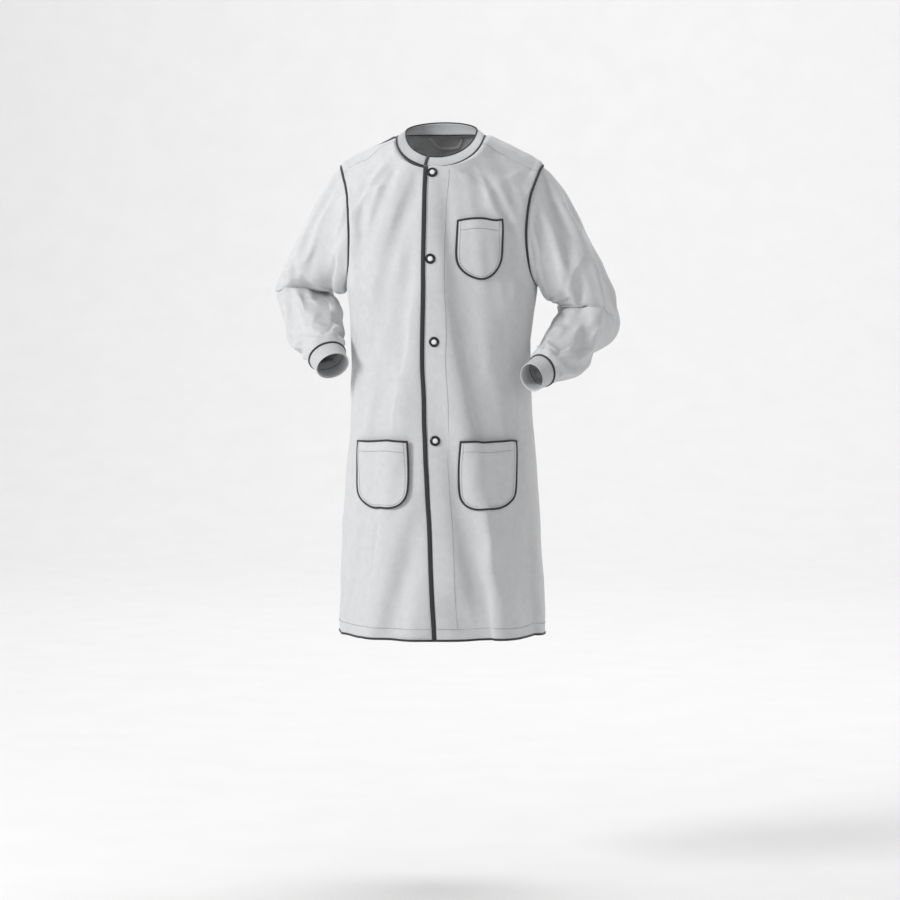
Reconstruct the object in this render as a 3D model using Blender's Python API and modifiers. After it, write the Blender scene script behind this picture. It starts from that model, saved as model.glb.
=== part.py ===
"""A collarless lab coat with a rib-knit neckband, rib-knit cuffs, a four-snap front and three patch pockets.

The coat stands open and rounded, as it sits on a wearer with hands on hips. Metres, +Z up. The origin is the centre
of the neck opening, level with the shoulder seams' neck ends. The front faces -Y, and the wearer's left is +X.
"""

import math

import bmesh
import bpy
from mathutils import Vector

# ---- Driving dimensions ----------------------------------------------------------------------------------------

HEM_Z = -1.035  # the hem, below the neck opening
ARMPIT_Z = -0.310
SHOULDER_NECK = (0.0905, -0.005)  # x and z of the shoulder seam's neck end
SHOULDER_TIP = (0.207, -0.067)  # x and z of its sleeve end
SHOULDER_ROUND = 0.14  # how far below the shoulder seams the front reaches its full depth
BACK_ROUND = 0.09  # and the back
NECK_DROP_FRONT = 0.0665  # from the shoulder seam's neck end down to the neckline at the centre front
NECK_BACK_Y = 0.62  # the neckline's share of the back's depth at the centre back
SQUARENESS = 2.5  # superellipse exponent of the body's horizontal sections

FABRIC = 0.0012  # woven cloth with its seams, as one skin
RIB = 0.0022  # doubled rib knit
SEAM_GAP = 0.0006  # between two skins that are sewn edge to edge
LAYER_GAP = 0.0005  # between two layers that lie on each other

# (z, half width), (z, depth of the front) and (z, depth of the back), top to bottom
HALF_WIDTH = ((-0.20, 0.210), (-0.31, 0.190), (-0.44, 0.178), (-0.55, 0.180), (-0.76, 0.194), (HEM_Z, 0.211))
FRONT_DEPTH = ((-0.05, 0.094), (-0.20, 0.126), (-0.31, 0.134), (-0.44, 0.136), (-0.63, 0.143), (HEM_Z, 0.168))
BACK_DEPTH = ((0.01, 0.094), (-0.10, 0.112), (-0.22, 0.128), (-0.44, 0.118), (-0.63, 0.130), (HEM_Z, 0.158))
# (z, x) of the armhole seam
ARMHOLE_FRONT = ((SHOULDER_TIP[1], SHOULDER_TIP[0]), (-0.13, 0.188), (-0.20, 0.181), (-0.27, 0.184), (ARMPIT_Z, 0.190))
ARMHOLE_BACK = ((SHOULDER_TIP[1], SHOULDER_TIP[0]), (-0.13, 0.193), (-0.20, 0.188), (-0.27, 0.188), (ARMPIT_Z, 0.190))
# (z, x) of the left front's free edge, which laps over the right front
LEFT_EDGE = ((-0.07, -0.0235), (-0.30, -0.0238), (-0.46, -0.0256), (-0.63, -0.0207), (-0.80, -0.0130), (HEM_Z, 0.0))
RIGHT_LAP = 0.022  # how far the right front runs under the left one past the centre
LAP_DEPTH = 0.0066  # how much deeper the right front lies there
FACING_WIDTH = 0.048

# The fold that each front opens about: a straight line from below the shoulder to the hem
FOLD_TOP = Vector((0.160, -0.100, -0.12))
FOLD_HEM = Vector((0.190, -0.125, HEM_Z))
EDGE_TOP_ROW = 1.62  # the row of the body grid where the free edge meets the neckline
FRONT_TOP_ROW = 1.80  # and where the opening part of a front ends

SNAPS = ((-0.008, -0.085), (-0.007, -0.260), (0.000, -0.431), (0.002, -0.630))  # x and z of each snap
CAP_RADIUS = 0.011
SHANK_RADIUS = 0.0016
HOLE_RADIUS = 0.0026

HIP_POCKET = {"x": (0.050, 0.167), "z": (-0.630, -0.768), "corner": 0.036, "gape": 0.0175}
CHEST_POCKET = {"x": (0.049, 0.136), "z": (-0.178, -0.298), "corner": 0.042, "gape": 0.0145}

FLAT_ROWS, FLAT_COLUMNS = (1, 2, 3), (2, 3, 4, 5, 6)  # the chest pocket's grid points that lie in one plane

CUFF_LENGTH = 0.035
ELBOW_GAP = 0.0014  # from the elbow's mitre plane to the end of each half of the sleeve
# Stations 0 to 8 of each sleeve: armhole, three down the upper arm, elbow, three down the forearm, cuff seam.
ELBOW_STATION, CUFF_STATION = 4, 8
SLEEVE_DEPTH = (0.082, 0.080, 0.077, 0.072, 0.068, 0.062, 0.053, 0.043, 0.035)  # half depth across the arm
LEFT_OUTER = (
    (0.207, 0.000, -0.067), (0.263, 0.010, -0.140), (0.306, 0.022, -0.218), (0.342, 0.035, -0.300),
    (0.3715, 0.050, -0.391),
    (0.3345, 0.012, -0.437), (0.299, -0.035, -0.478), (0.266, -0.072, -0.506), (0.233, -0.105, -0.514),
)
LEFT_INNER = (
    (0.190, 0.000, -0.310), (0.205, 0.004, -0.328), (0.220, 0.010, -0.341), (0.236, 0.016, -0.350),
    (0.250, 0.020, -0.358),
    (0.230, -0.012, -0.385), (0.213, -0.048, -0.416), (0.205, -0.078, -0.437), (0.200, -0.100, -0.458),
)
RIGHT_OUTER = (
    (-0.207, 0.000, -0.067), (-0.2505, 0.020, -0.135), (-0.2933, 0.050, -0.210), (-0.327, 0.078, -0.275),
    (-0.354, 0.100, -0.336),
    (-0.337, 0.060, -0.385), (-0.312, 0.005, -0.430), (-0.290, -0.035, -0.458), (-0.262, -0.070, -0.480),
)
RIGHT_INNER = (
    (-0.190, 0.000, -0.310), (-0.205, 0.008, -0.316), (-0.221, 0.018, -0.319), (-0.240, 0.028, -0.321),
    (-0.262, 0.040, -0.322),
    (-0.219, 0.010, -0.352), (-0.210, -0.025, -0.387), (-0.203, -0.052, -0.416), (-0.1965, -0.075, -0.438),
)

# How fine the shells are
SIDE_COLUMNS, FRONT_COLUMNS, BACK_COLUMNS = 3, 7, 7
LOW_ROWS, CHEST_ROWS, NECK_ROWS, SHOULDER_ROWS = 8, 7, 4, 4
RING_POINTS = 2 * (CHEST_ROWS + NECK_ROWS + SHOULDER_ROWS)
TURNED_STEPS = 12

COLOURS = {
    "cloth": ((0.72, 0.72, 0.72), 0.85, 0.0),
    "rib": ((0.70, 0.70, 0.70), 0.95, 0.0),
    "metal": ((0.05, 0.05, 0.055), 0.35, 1.0),
    "label": ((0.92, 0.92, 0.90), 0.80, 0.0),
}


# ---- Small helpers ---------------------------------------------------------------------------------------------


def mix(a, b, share):
    return a + (b - a) * share


def smooth(share):
    share = min(1.0, max(0.0, share))
    return share * share * (3 - 2 * share)


def slope_at(keys, i):
    before, after = keys[max(i - 1, 0)], keys[min(i + 1, len(keys) - 1)]
    return (after[1] - before[1]) / (after[0] - before[0])


def along(keys, z):
    """The value at height z of a smooth curve through (z, value) keys listed top to bottom, flat past its ends."""
    if z >= keys[0][0]:
        return keys[0][1]
    for i, ((z_high, high), (z_low, low)) in enumerate(zip(keys, keys[1:])):
        if z >= z_low:
            t = (z_high - z) / (z_high - z_low)
            span = z_low - z_high
            start, end = slope_at(keys, i) * span, slope_at(keys, i + 1) * span
            return (
                high * (2 * t**3 - 3 * t**2 + 1)
                + start * (t**3 - 2 * t**2 + t)
                + low * (3 * t**2 - 2 * t**3)
                + end * (t**3 - t**2)
            )
    return keys[-1][1]


def spaced(low, high, steps):
    return [mix(low, high, i / steps) for i in range(steps + 1)]


def through(points, station):
    """A point on the smooth curve through evenly numbered points, with its ends carried on straight."""
    last = len(points) - 1
    i = min(int(max(station, 0)), last - 1)
    share = station - i
    here, there = Vector(points[i]), Vector(points[i + 1])
    before = Vector(points[i - 1]) if i > 0 else here * 2 - there
    after = Vector(points[i + 2]) if i + 2 <= last else there * 2 - here
    tangent_in, tangent_out = (there - before) / 2, (after - here) / 2
    return (
        here * (2 * share**3 - 3 * share**2 + 1)
        + tangent_in * (share**3 - 2 * share**2 + share)
        + there * (3 * share**2 - 2 * share**3)
        + tangent_out * (share**3 - share**2)
    )


# ---- The body's surface ----------------------------------------------------------------------------------------


def shoulder_z(x):
    """The height of the body's top line: straight along each shoulder seam, and arched between them."""
    slope = (SHOULDER_TIP[1] - SHOULDER_NECK[1]) / (SHOULDER_TIP[0] - SHOULDER_NECK[0])
    near = SHOULDER_NECK[0]
    if abs(x) >= near:
        return SHOULDER_NECK[1] + slope * (abs(x) - near)
    return SHOULDER_NECK[1] + slope * (x * x - near * near) / (2 * near)


def body_y(x, z, depths, rounding):
    """How far the body's skin is from the plane of the shoulder seams at x and z."""
    across = min(1.0, abs(x) / along(HALF_WIDTH, z))
    below = min(1.0, max(0.0, (shoulder_z(x) - z) / rounding))
    section = (1 - across**SQUARENESS) ** (1 / SQUARENESS)
    return along(depths, z) * section * math.sqrt(1 - (1 - below) ** 2)


def front_y(x, z):
    return -body_y(x, z, FRONT_DEPTH, SHOULDER_ROUND)


def back_y(x, z):
    return body_y(x, z, BACK_DEPTH, BACK_ROUND)


def angle_of(x, z):
    """The section's own angle at x: 0 at the side, 90 degrees at the centre."""
    share = abs(x) / along(HALF_WIDTH, z)
    return math.acos(math.copysign(min(1.0, share) ** (SQUARENESS / 2), x))


def x_of(angle, z):
    c = math.cos(angle)
    return along(HALF_WIDTH, z) * math.copysign(abs(c) ** (2 / SQUARENESS), c)


def seam_side(row, armhole):
    """x and z where a row starts: rows 0 to 1 climb the side seam, rows 1 to 2 the armhole."""
    if row <= 1:
        z = mix(HEM_Z, ARMPIT_Z, row)
        return along(HALF_WIDTH, z), z
    z = mix(ARMPIT_Z, SHOULDER_TIP[1], row - 1)
    return along(armhole, z), z


def front_neckline(angle):
    """x and z of the neckline: 0 at the shoulder seam, 90 degrees at the centre front."""
    return SHOULDER_NECK[0] * math.cos(angle), SHOULDER_NECK[1] - NECK_DROP_FRONT * math.sin(angle)


def back_neckline(angle):
    """The same towards the centre back."""
    x = SHOULDER_NECK[0] * math.cos(angle)
    depth = NECK_BACK_Y * max(0.0, math.sin(angle)) ** 1.2
    return x, shoulder_z(x) - BACK_ROUND * (1 - math.sqrt(1 - depth**2))


def neck_angle(row, edge):
    """Where on the neckline a row ends."""
    return math.acos(edge[0][1] / SHOULDER_NECK[0]) * (2 - row) / (2 - EDGE_TOP_ROW)


def seam_centre(row, edge, neckline):
    """x and z where a row ends: up the free edge or centre line, then round the neckline to the shoulder seam."""
    if row <= 1:
        z = mix(HEM_Z, ARMPIT_Z, row)
        return along(edge, z), z
    if row < EDGE_TOP_ROW:
        top_z = neckline(neck_angle(EDGE_TOP_ROW, edge))[1]
        z = mix(ARMPIT_Z, top_z, (row - 1) / (EDGE_TOP_ROW - 1))
        return along(edge, z), z
    return neckline(neck_angle(row, edge))


def body_point(column, row, edge, armhole, neckline, skin_y):
    """A point of the left half of the front or back: column 0 at the side to 1 at the centre, row 0 at the hem
    to 2 at the shoulder seam."""
    side_x, side_z = seam_side(row, armhole)
    end_x, end_z = seam_centre(row, edge, neckline)
    side_angle = angle_of(side_x, side_z) if row > 1 else 0.0
    angle = mix(side_angle, angle_of(end_x, end_z), column)
    z = mix(side_z, end_z, column)
    x = x_of(angle, z)
    if row > 1:
        drop = mix(shoulder_z(side_x) - side_z, shoulder_z(end_x) - end_z, column)
        z = mix(z, shoulder_z(x) - drop, smooth(row - 1))
    return Vector((x, skin_y(x, z), z))


RIGHT_EDGE = ((-0.07, -RIGHT_LAP), (HEM_Z, -RIGHT_LAP))
CENTRE = ((0.01, 0.0), (HEM_Z, 0.0))


def front_point(column, row, edge):
    return body_point(column, row, edge, ARMHOLE_FRONT, front_neckline, front_y)


def back_point(column, row):
    return body_point(column, row, CENTRE, ARMHOLE_BACK, back_neckline, back_y)


def fold_column(row, edge):
    """The column where the fold line crosses a row."""
    low, high = 0.0, 1.0
    for _ in range(40):
        middle = (low + high) / 2
        p = front_point(middle, row, edge)
        share = (FOLD_TOP.z - p.z) / (FOLD_TOP.z - FOLD_HEM.z)
        if p.x > mix(FOLD_TOP.x, FOLD_HEM.x, share):
            low = middle
        else:
            high = middle
    return low


def inward(point_at, column, row):
    """The inward unit normal of the left half at a column and row."""
    step = 1e-3
    across = point_at(min(column + step, 1), row) - point_at(max(column - step, 0), row)
    up = point_at(column, min(row + step, 2)) - point_at(column, max(row - step, 0))
    normal = across.cross(up).normalized()
    p = point_at(column, row)
    return normal if normal.dot(Vector((p.x, p.y, 0))) < 0 else -normal


# ---- Building objects ------------------------------------------------------------------------------------------


def clear_scene():
    for obj in list(bpy.data.objects):
        bpy.data.objects.remove(obj, do_unlink=True)


def new_collection(name):
    collection = bpy.data.collections.new(name)
    bpy.context.scene.collection.children.link(collection)
    return collection


def make_materials():
    made = {}
    for name, (colour, roughness, metallic) in COLOURS.items():
        material = bpy.data.materials.new(name)
        material.use_nodes = True
        shader = material.node_tree.nodes["Principled BSDF"]
        shader.inputs["Base Color"].default_value = (*colour, 1)
        shader.inputs["Roughness"].default_value = roughness
        shader.inputs["Metallic"].default_value = metallic
        made[name] = material
    return made


def add_object(name, mesh, material):
    obj = bpy.data.objects.new(name, mesh)
    obj.data.materials.append(MATERIALS[material])
    COAT.objects.link(obj)
    return obj


def skin(name, rows, thickness, material, ring=False, keep=None, flip=False):
    """A sheet through rows of points, thickened inwards. A ring closes each row; keep says which cells exist."""
    mesh = bpy.data.meshes.new(name)
    bm = bmesh.new()
    grid = [[bm.verts.new(p) for p in row] for row in rows]
    width = len(rows[0])
    for r in range(len(rows) - 1):
        for c in range(width if ring else width - 1):
            if keep is None or keep(r, c):
                d = (c + 1) % width
                corners = (grid[r][c], grid[r][d], grid[r + 1][d], grid[r + 1][c])
                bm.faces.new(corners if flip else corners[::-1])
    bmesh.ops.remove_doubles(bm, verts=bm.verts, dist=1e-6)
    for vertex in [v for v in bm.verts if not v.link_faces]:
        bm.verts.remove(vertex)
    bm.to_mesh(mesh)
    bm.free()
    mesh.shade_smooth()
    obj = add_object(name, mesh, material)
    solidify = obj.modifiers.new("thickness", "SOLIDIFY")
    solidify.thickness = thickness
    solidify.offset = -1
    solidify.use_even_offset = True
    return obj


def mirrored(rows):
    return [[Vector((-p.x, p.y, p.z)) for p in row] for row in rows]


def turned(name, profile, place, normal, material):
    """A solid turned from a closed profile of (radius, height) points that runs down its outer side."""
    mesh = bpy.data.meshes.new(name)
    edges = [(i, (i + 1) % len(profile)) for i in range(len(profile))]
    if profile[0][0] == 0 and profile[-1][0] == 0:
        edges.pop()
    mesh.from_pydata([(r, 0, h) for r, h in profile], edges, [])
    obj = add_object(name, mesh, material)
    screw = obj.modifiers.new("turn", "SCREW")
    screw.steps = screw.render_steps = TURNED_STEPS
    screw.use_merge_vertices = True
    screw.merge_threshold = 1e-5
    obj.location = place
    obj.rotation_euler = normal.to_track_quat("Z", "Y").to_euler()
    return obj


# ---- Body panels -----------------------------------------------------------------------------------------------


def opening_rows():
    chest = [mix(1, EDGE_TOP_ROW, 1 - (1 - share) ** 1.6) for share in spaced(0, 1, CHEST_ROWS)]
    neck = spaced(EDGE_TOP_ROW, FRONT_TOP_ROW, NECK_ROWS)
    return spaced(0, 1, LOW_ROWS) + chest[1:] + neck[1:]


def body_rows():
    return opening_rows() + spaced(FRONT_TOP_ROW, 2, SHOULDER_ROWS)[1:]


def lap_inset(x, deep):
    """How deep the skin of a front lies at x: the right front sinks as it runs under the left one."""
    return deep * smooth((0.110 - x) / 0.060)


def front_sheet(edge, deep, columns, rows, extra=0.0):
    """Points of the left front between two columns measured from the fold (0) to the free edge (1)."""
    sheet = []
    for row in rows:
        fold = fold_column(row, edge)
        line = []
        for share in columns:
            column = mix(fold, 1, share)
            p = front_point(column, row, edge)
            depth = lap_inset(p.x, deep) + extra
            line.append(p + inward(lambda c, r: front_point(c, r, edge), column, row) * depth)
        sheet.append(line)
    return sheet


def front_shares():
    """Columns of a front panel, with the facing's columns among them."""
    return spaced(0.006, 0.72, FRONT_COLUMNS - 2) + [0.86, 1.0]


def make_front_panel(name, edge, deep, right):
    """The part of a front that swings open: from the fold to the free edge, hem to just below the shoulder."""
    rows = opening_rows()
    rows[-1] -= 0.004
    sheet = front_sheet(edge, deep, front_shares(), rows)
    return skin(name, mirrored(sheet) if right else sheet, FABRIC, "cloth", flip=right)


def make_front_side(name, edge, right):
    """The part of a front that stays with the body: the side strip, and the shoulder above the opening part."""
    rows = body_rows()
    sheet = []
    for row in rows:
        fold = fold_column(row, edge)
        columns = spaced(0.004, fold - 0.004, SIDE_COLUMNS) + [mix(fold, 1, s) for s in front_shares()[1:]]
        lifted = row + 0.004 if row == FRONT_TOP_ROW else row
        seam = Vector((0, -SEAM_GAP if row == 2 else 0, 0))
        sheet.append([front_point(c, lifted, edge) + seam for c in columns])
    fixed = LOW_ROWS + CHEST_ROWS + NECK_ROWS

    def keep(r, c):
        return c < SIDE_COLUMNS or r >= fixed

    return skin(name, mirrored(sheet) if right else sheet, FABRIC, "cloth", keep=keep, flip=right)


def make_back_panel():
    sheet = []
    for row in body_rows():
        seam = Vector((0, SEAM_GAP if row == 2 else 0, 0))
        half = [back_point(c, row) + seam for c in spaced(0.002, 1, BACK_COLUMNS)]
        other = [Vector((-p.x, p.y, p.z)) for p in half]
        sheet.append(half + other[::-1])
    return skin("back_panel", sheet, FABRIC, "cloth", keep=lambda r, c: c != BACK_COLUMNS, flip=True)


def make_facing(name, edge, deep, right):
    """The strip folded back behind a free edge."""
    rows = [r for r in opening_rows() if r <= EDGE_TOP_ROW]
    rows[0] += 0.003
    rows[-1] -= 0.006
    sheet = front_sheet(edge, deep, front_shares()[-3:], rows, FABRIC + LAYER_GAP)
    return skin(name, mirrored(sheet) if right else sheet, FABRIC, "cloth", flip=right)


# ---- Neckband --------------------------------------------------------------------------------------------------

BAND_HALF_WIDTH, BAND_SIDE_Z = 0.073, 0.006  # the band's top edge: its half width, and its height at the sides
BAND_FRONT = (-0.074, -0.056)  # y at the centre front, and the drop there from the sides
BAND_BACK = (0.055, 0.019)  # y at the centre back, and the rise there


def band_point(angle, share):
    """The neckband's outer skin: angle 0 at the wearer's left, 90 degrees at the centre front, -90 at the centre
    back; share 0 at the neckline seam to 1 at the band's top edge."""
    turn = math.sin(angle)
    if turn >= 0:
        x, z = front_neckline(angle)
        low = Vector((x, front_y(x, z), z))
    else:
        x, z = back_neckline(-angle)
        low = Vector((x, back_y(x, z), z))
    y_end, z_end = BAND_FRONT if turn >= 0 else BAND_BACK
    high = Vector((BAND_HALF_WIDTH * math.cos(angle), y_end * abs(turn), BAND_SIDE_Z + z_end * abs(turn)))
    out = Vector((math.cos(angle), -turn, 0.5)).normalized()
    return low.lerp(high, share) + out * 0.0018 * math.sin(math.pi * share)


def make_band(name, angles, depth):
    sheet = []
    for share in spaced(0.16, 1, 3):
        line = []
        for angle in angles:
            out = Vector((math.cos(angle), -math.sin(angle), 0.35)).normalized()
            line.append(band_point(angle, share) - out * depth)
        sheet.append(line)
    return skin(name, sheet, RIB, "rib", flip=True)


def make_neckband():
    """Two front halves that open with the fronts, and the rest round the back of the neck."""
    gap = 0.012
    neck_rows = [r for r in opening_rows() if r >= EDGE_TOP_ROW]
    shoulder_rows = [r for r in body_rows() if r >= FRONT_TOP_ROW]
    left = [neck_angle(r, LEFT_EDGE) for r in neck_rows]
    right = [math.pi - neck_angle(r, RIGHT_EDGE) for r in neck_rows]
    left[-1] += gap
    right[-1] -= gap
    make_band("neckband_left_front", left[::-1], 0.0)
    make_band("neckband_right_front", right[::-1], 0.0032)
    front_left = [neck_angle(r, LEFT_EDGE) for r in shoulder_rows]
    front_right = [math.pi - neck_angle(r, RIGHT_EDGE) for r in shoulder_rows]
    back = [-neck_angle(r, CENTRE) for r in reversed(neck_rows + shoulder_rows[1:-1])]
    far_back = [-math.pi - a for a in reversed(back[:-1])]
    make_band("neckband_back", front_left + back + far_back + [a - 2 * math.pi for a in reversed(front_right)], 0.0)


# ---- Sleeves ---------------------------------------------------------------------------------------------------


def armhole_loop(mirror):
    """The armhole seam from the shoulder down its front, under the arm and up its back, RING_POINTS of them."""
    rows = [r for r in body_rows() if r >= 1]
    down = [front_point(0, r, LEFT_EDGE) for r in reversed(rows)]
    up = [back_point(0, r) for r in rows[1:-1]]
    loop = down + up
    return [Vector((-p.x, p.y, p.z)) for p in loop] if mirror else loop


def sleeve_frame(outer, inner, station):
    """Centre, half width and half depth directions of a sleeve's section."""
    top, low = through(outer, station), through(inner, station)
    step = 0.05
    ahead = (through(outer, station + step) + through(inner, station + step)) / 2
    behind = (through(outer, station - step) + through(inner, station - step)) / 2
    across = (top - low) / 2
    normal = (ahead - behind).cross(across).normalized()
    if normal.y > 0:
        normal = -normal
    return (top + low) / 2, across, normal


def sleeve_ring(outer, inner, station, mirror):
    """RING_POINTS round a sleeve, starting on top and going forward. It grows out of the armhole's own shape."""
    centre, across, normal = sleeve_frame(outer, inner, station)
    i = min(int(station), CUFF_STATION - 1)
    depth = mix(SLEEVE_DEPTH[i], SLEEVE_DEPTH[i + 1], station - i)
    loop = armhole_loop(mirror)
    hold = 1 - smooth(station / 2.2)
    loop_centre = (Vector(outer[0]) + Vector(inner[0])) / 2
    ring = []
    for k in range(RING_POINTS):
        turn = 2 * math.pi * k / RING_POINTS
        round_point = centre + across * math.cos(turn) + normal * depth * math.sin(turn)
        grown = loop[k] - loop_centre + centre
        ring.append(round_point.lerp(grown, hold))
    return ring


def make_sleeve(side, outer, inner):
    mirror = side == "right"
    out = Vector((-1 if mirror else 1, 0, 0))
    rings = []
    _, across, normal = sleeve_frame(outer, inner, ELBOW_STATION)
    mitre = across.cross(normal).normalized()
    if mitre.x * out.x > 0:
        mitre = -mitre
    for station in (0.0, 0.35, 0.9, 1.6, 2.6, ELBOW_STATION):
        ring = sleeve_ring(outer, inner, station, mirror)
        shift = {0.0: out * 0.0030, ELBOW_STATION: -mitre * ELBOW_GAP}.get(station, Vector())
        rings.append([p + shift for p in ring])
    skin(f"{side}_upper_sleeve", rings, FABRIC, "cloth", ring=True, flip=not mirror)
    rings = [
        sleeve_ring(outer, inner, station, mirror)
        for station in (ELBOW_STATION, 4.9, 5.8, 6.9, CUFF_STATION)
    ]
    rings[0] = [p + mitre * ELBOW_GAP for p in rings[0]]
    skin(f"{side}_lower_sleeve", rings, FABRIC, "cloth", ring=True, flip=not mirror)
    end = sleeve_ring(outer, inner, CUFF_STATION, mirror)
    centre = sleeve_frame(outer, inner, CUFF_STATION)[0]
    forward = (centre - sleeve_frame(outer, inner, CUFF_STATION - 0.2)[0]).normalized()
    cuff = []
    for share in spaced(0, 1, 2):
        size = mix(0.97, 0.90, share)
        shift = forward * mix(0.0012, CUFF_LENGTH, share)
        cuff.append([centre + (p - centre) * size + shift for p in end])
    skin(f"{side}_cuff", cuff, RIB, "rib", ring=True, flip=not mirror)


# ---- Pockets ---------------------------------------------------------------------------------------------------


def flatten(sheet):
    """Moves the middle of a pocket onto one upright plane, for what is pinned to it."""
    rows, columns = FLAT_ROWS, FLAT_COLUMNS
    across = sheet[rows[1]][columns[-1]] - sheet[rows[1]][columns[0]]
    normal = across.cross(sheet[rows[-1]][columns[2]] - sheet[rows[0]][columns[2]])
    centre = sheet[rows[1]][columns[2]].copy()
    for r in rows:
        for c in columns:
            p = sheet[r][c]
            p.y -= normal.dot(p - centre) / normal.y


def make_pocket(name, pocket, deep, right, flat=False):
    """A patch that meets the front at its sides and foot, and gapes at its mouth."""
    (x_near, x_far), (z_top, z_foot) = pocket["x"], pocket["z"]
    centre, half = (x_near + x_far) / 2, (x_far - x_near) / 2
    corner = pocket["corner"]
    sheet = []
    for low in spaced(0, 1, 7):
        z = mix(z_top, z_foot, math.sin(low * math.pi / 2))
        into_corner = max(0.0, (z_foot + corner) - z)
        width = half - corner + math.sqrt(max(0.0, corner**2 - into_corner**2))
        width = max(width, 0.004)
        line = []
        for share in spaced(-1, 1, 8):
            x = centre + width * share
            depth = lap_inset(x, deep)
            swell = pocket["gape"] * (1 - share**4) * (1 - math.sin(low * math.pi / 2) ** 3)
            lift = swell + FABRIC + LAYER_GAP
            normal = Vector((x / 0.19**2, front_y(x, z) / 0.14**2, 0)).normalized()
            line.append(Vector((x, front_y(x, z), z)) - normal * depth + normal * lift)
        sheet.append(line)
    if flat:
        flatten(sheet)
    sheet = sheet[::-1]
    return skin(name, mirrored(sheet) if right else sheet, FABRIC, "cloth", flip=not right)


# ---- Snaps -----------------------------------------------------------------------------------------------------


def snap_frame(x, z):
    """The front's outer skin at a snap, and its outward normal."""
    step = 1e-3
    across = Vector((2 * step, front_y(x + step, z) - front_y(x - step, z), 0))
    up = Vector((0, front_y(x, z + step) - front_y(x, z - step), 2 * step))
    return Vector((x, front_y(x, z), z)), across.cross(up).normalized()


def make_snap(number, x, z):
    """Cap and socket on the left front, stud and post on the right one. Heights are measured outwards from the
    left front's outer skin."""
    place, normal = snap_frame(x, z)
    inner = -(2 * FABRIC + 2 * LAYER_GAP) - 0.0002
    stud_seat = -LAP_DEPTH + 0.0005
    post_seat = -LAP_DEPTH - 2 * FABRIC - 2 * LAYER_GAP - 0.0005
    cap = (
        (0, 0.0024), (0.0055, 0.0024), (0.0062, 0.0015), (0.0078, 0.0030), (0.0102, 0.0022), (CAP_RADIUS, 0.0005),
        (SHANK_RADIUS, 0.0005), (SHANK_RADIUS, inner - 0.0006), (0, inner - 0.0006),
    )
    socket = (
        (0.0022, inner), (0.0068, inner), (0.0072, inner - 0.0008), (0.0058, inner - 0.0019),
        (0.0036, inner - 0.0019), (0.0036, inner - 0.0009), (0.0022, inner - 0.0009),
    )
    stud = (
        (0.0020, stud_seat + 0.0015), (0.0024, stud_seat + 0.0010), (0.0026, stud_seat + 0.0005),
        (0.0070, stud_seat + 0.0004), (0.0070, stud_seat), (0.0012, stud_seat), (0.0012, stud_seat + 0.0014),
    )
    post = (
        (0, stud_seat + 0.0009), (0.0008, stud_seat + 0.0009), (0.0008, post_seat), (0.0062, post_seat),
        (0.0066, post_seat - 0.0006), (0, post_seat - 0.0012),
    )
    for piece, profile in (("cap", cap), ("socket", socket), ("stud", stud), ("post", post)):
        turned(f"snap_{piece}_{number}", profile, place, normal, "metal")


def pierce(panels):
    """Holes for the snaps' shanks through the fronts and their facings."""
    for number, (x, z) in enumerate(SNAPS, 1):
        place, normal = snap_frame(x, z)
        bpy.ops.mesh.primitive_cylinder_add(vertices=10, radius=HOLE_RADIUS, depth=0.04)
        cutter = bpy.context.object
        cutter.name = f"cutter_{number}"
        cutter.location = place
        cutter.rotation_euler = normal.to_track_quat("Z", "Y").to_euler()
        cutter.hide_render = True
        cutter.display_type = "WIRE"
        for collection in list(cutter.users_collection):
            collection.objects.unlink(cutter)
        CUTTERS.objects.link(cutter)
        for panel in panels:
            cut = panel.modifiers.new(f"snap_{number}", "BOOLEAN")
            cut.operation = "DIFFERENCE"
            cut.object = cutter


# ---- Inside the neck -------------------------------------------------------------------------------------------


def inside_back(x, drop, lift):
    """A point inside the back, drop below the neckline and lift off the cloth."""
    z = back_neckline(math.pi / 2)[1] - drop
    y = back_y(x, z) - FABRIC - lift
    return Vector((x, y, z))


def make_hanger_loop():
    """A narrow tape sewn in at both ends below the neckline, hanging in a shallow U."""
    half, drop, width = 0.034, 0.022, 0.006
    sheet = []
    for side in (0, 1):
        line = []
        for share in spaced(-1, 1, 12):
            sag = drop * (1 - share**4)
            inner = width * side * (1 - 0.2 * share**2)
            lift = 0.0036 + 0.0045 * (1 - share**2)
            line.append(inside_back(half * share * (1 - 0.12 * side * (1 - share**2)), 0.010 + sag - inner, lift))
        sheet.append(line)
    return skin("hanger_loop", sheet, 0.0008, "label", flip=False)


def make_size_label():
    sheet = []
    for drop in spaced(0.042, 0.078, 3):
        sheet.append([inside_back(x, drop, 0.0040) for x in spaced(-0.024, 0.024, 4)])
    return skin("size_label", sheet, 0.0006, "label", flip=True)


# ---- The coat --------------------------------------------------------------------------------------------------


def build():
    make_back_panel()
    make_front_side("left_front_side", LEFT_EDGE, right=False)
    make_front_side("right_front_side", RIGHT_EDGE, right=True)
    pierce([
        make_front_panel("left_front_panel", LEFT_EDGE, 0.0, right=False),
        make_facing("left_front_facing", LEFT_EDGE, 0.0, right=False),
        make_front_panel("right_front_panel", RIGHT_EDGE, LAP_DEPTH, right=True),
        make_facing("right_front_facing", RIGHT_EDGE, LAP_DEPTH, right=True),
    ])
    make_neckband()
    make_pocket("chest_pocket", CHEST_POCKET, 0.0, right=False, flat=True)
    make_pocket("left_hip_pocket", HIP_POCKET, 0.0, right=False)
    make_pocket("right_hip_pocket", HIP_POCKET, LAP_DEPTH, right=True)
    make_sleeve("left", LEFT_OUTER, LEFT_INNER)
    make_sleeve("right", RIGHT_OUTER, RIGHT_INNER)
    make_hanger_loop()
    make_size_label()
    for number, (x, z) in enumerate(SNAPS, 1):
        make_snap(number, x, z)


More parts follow.
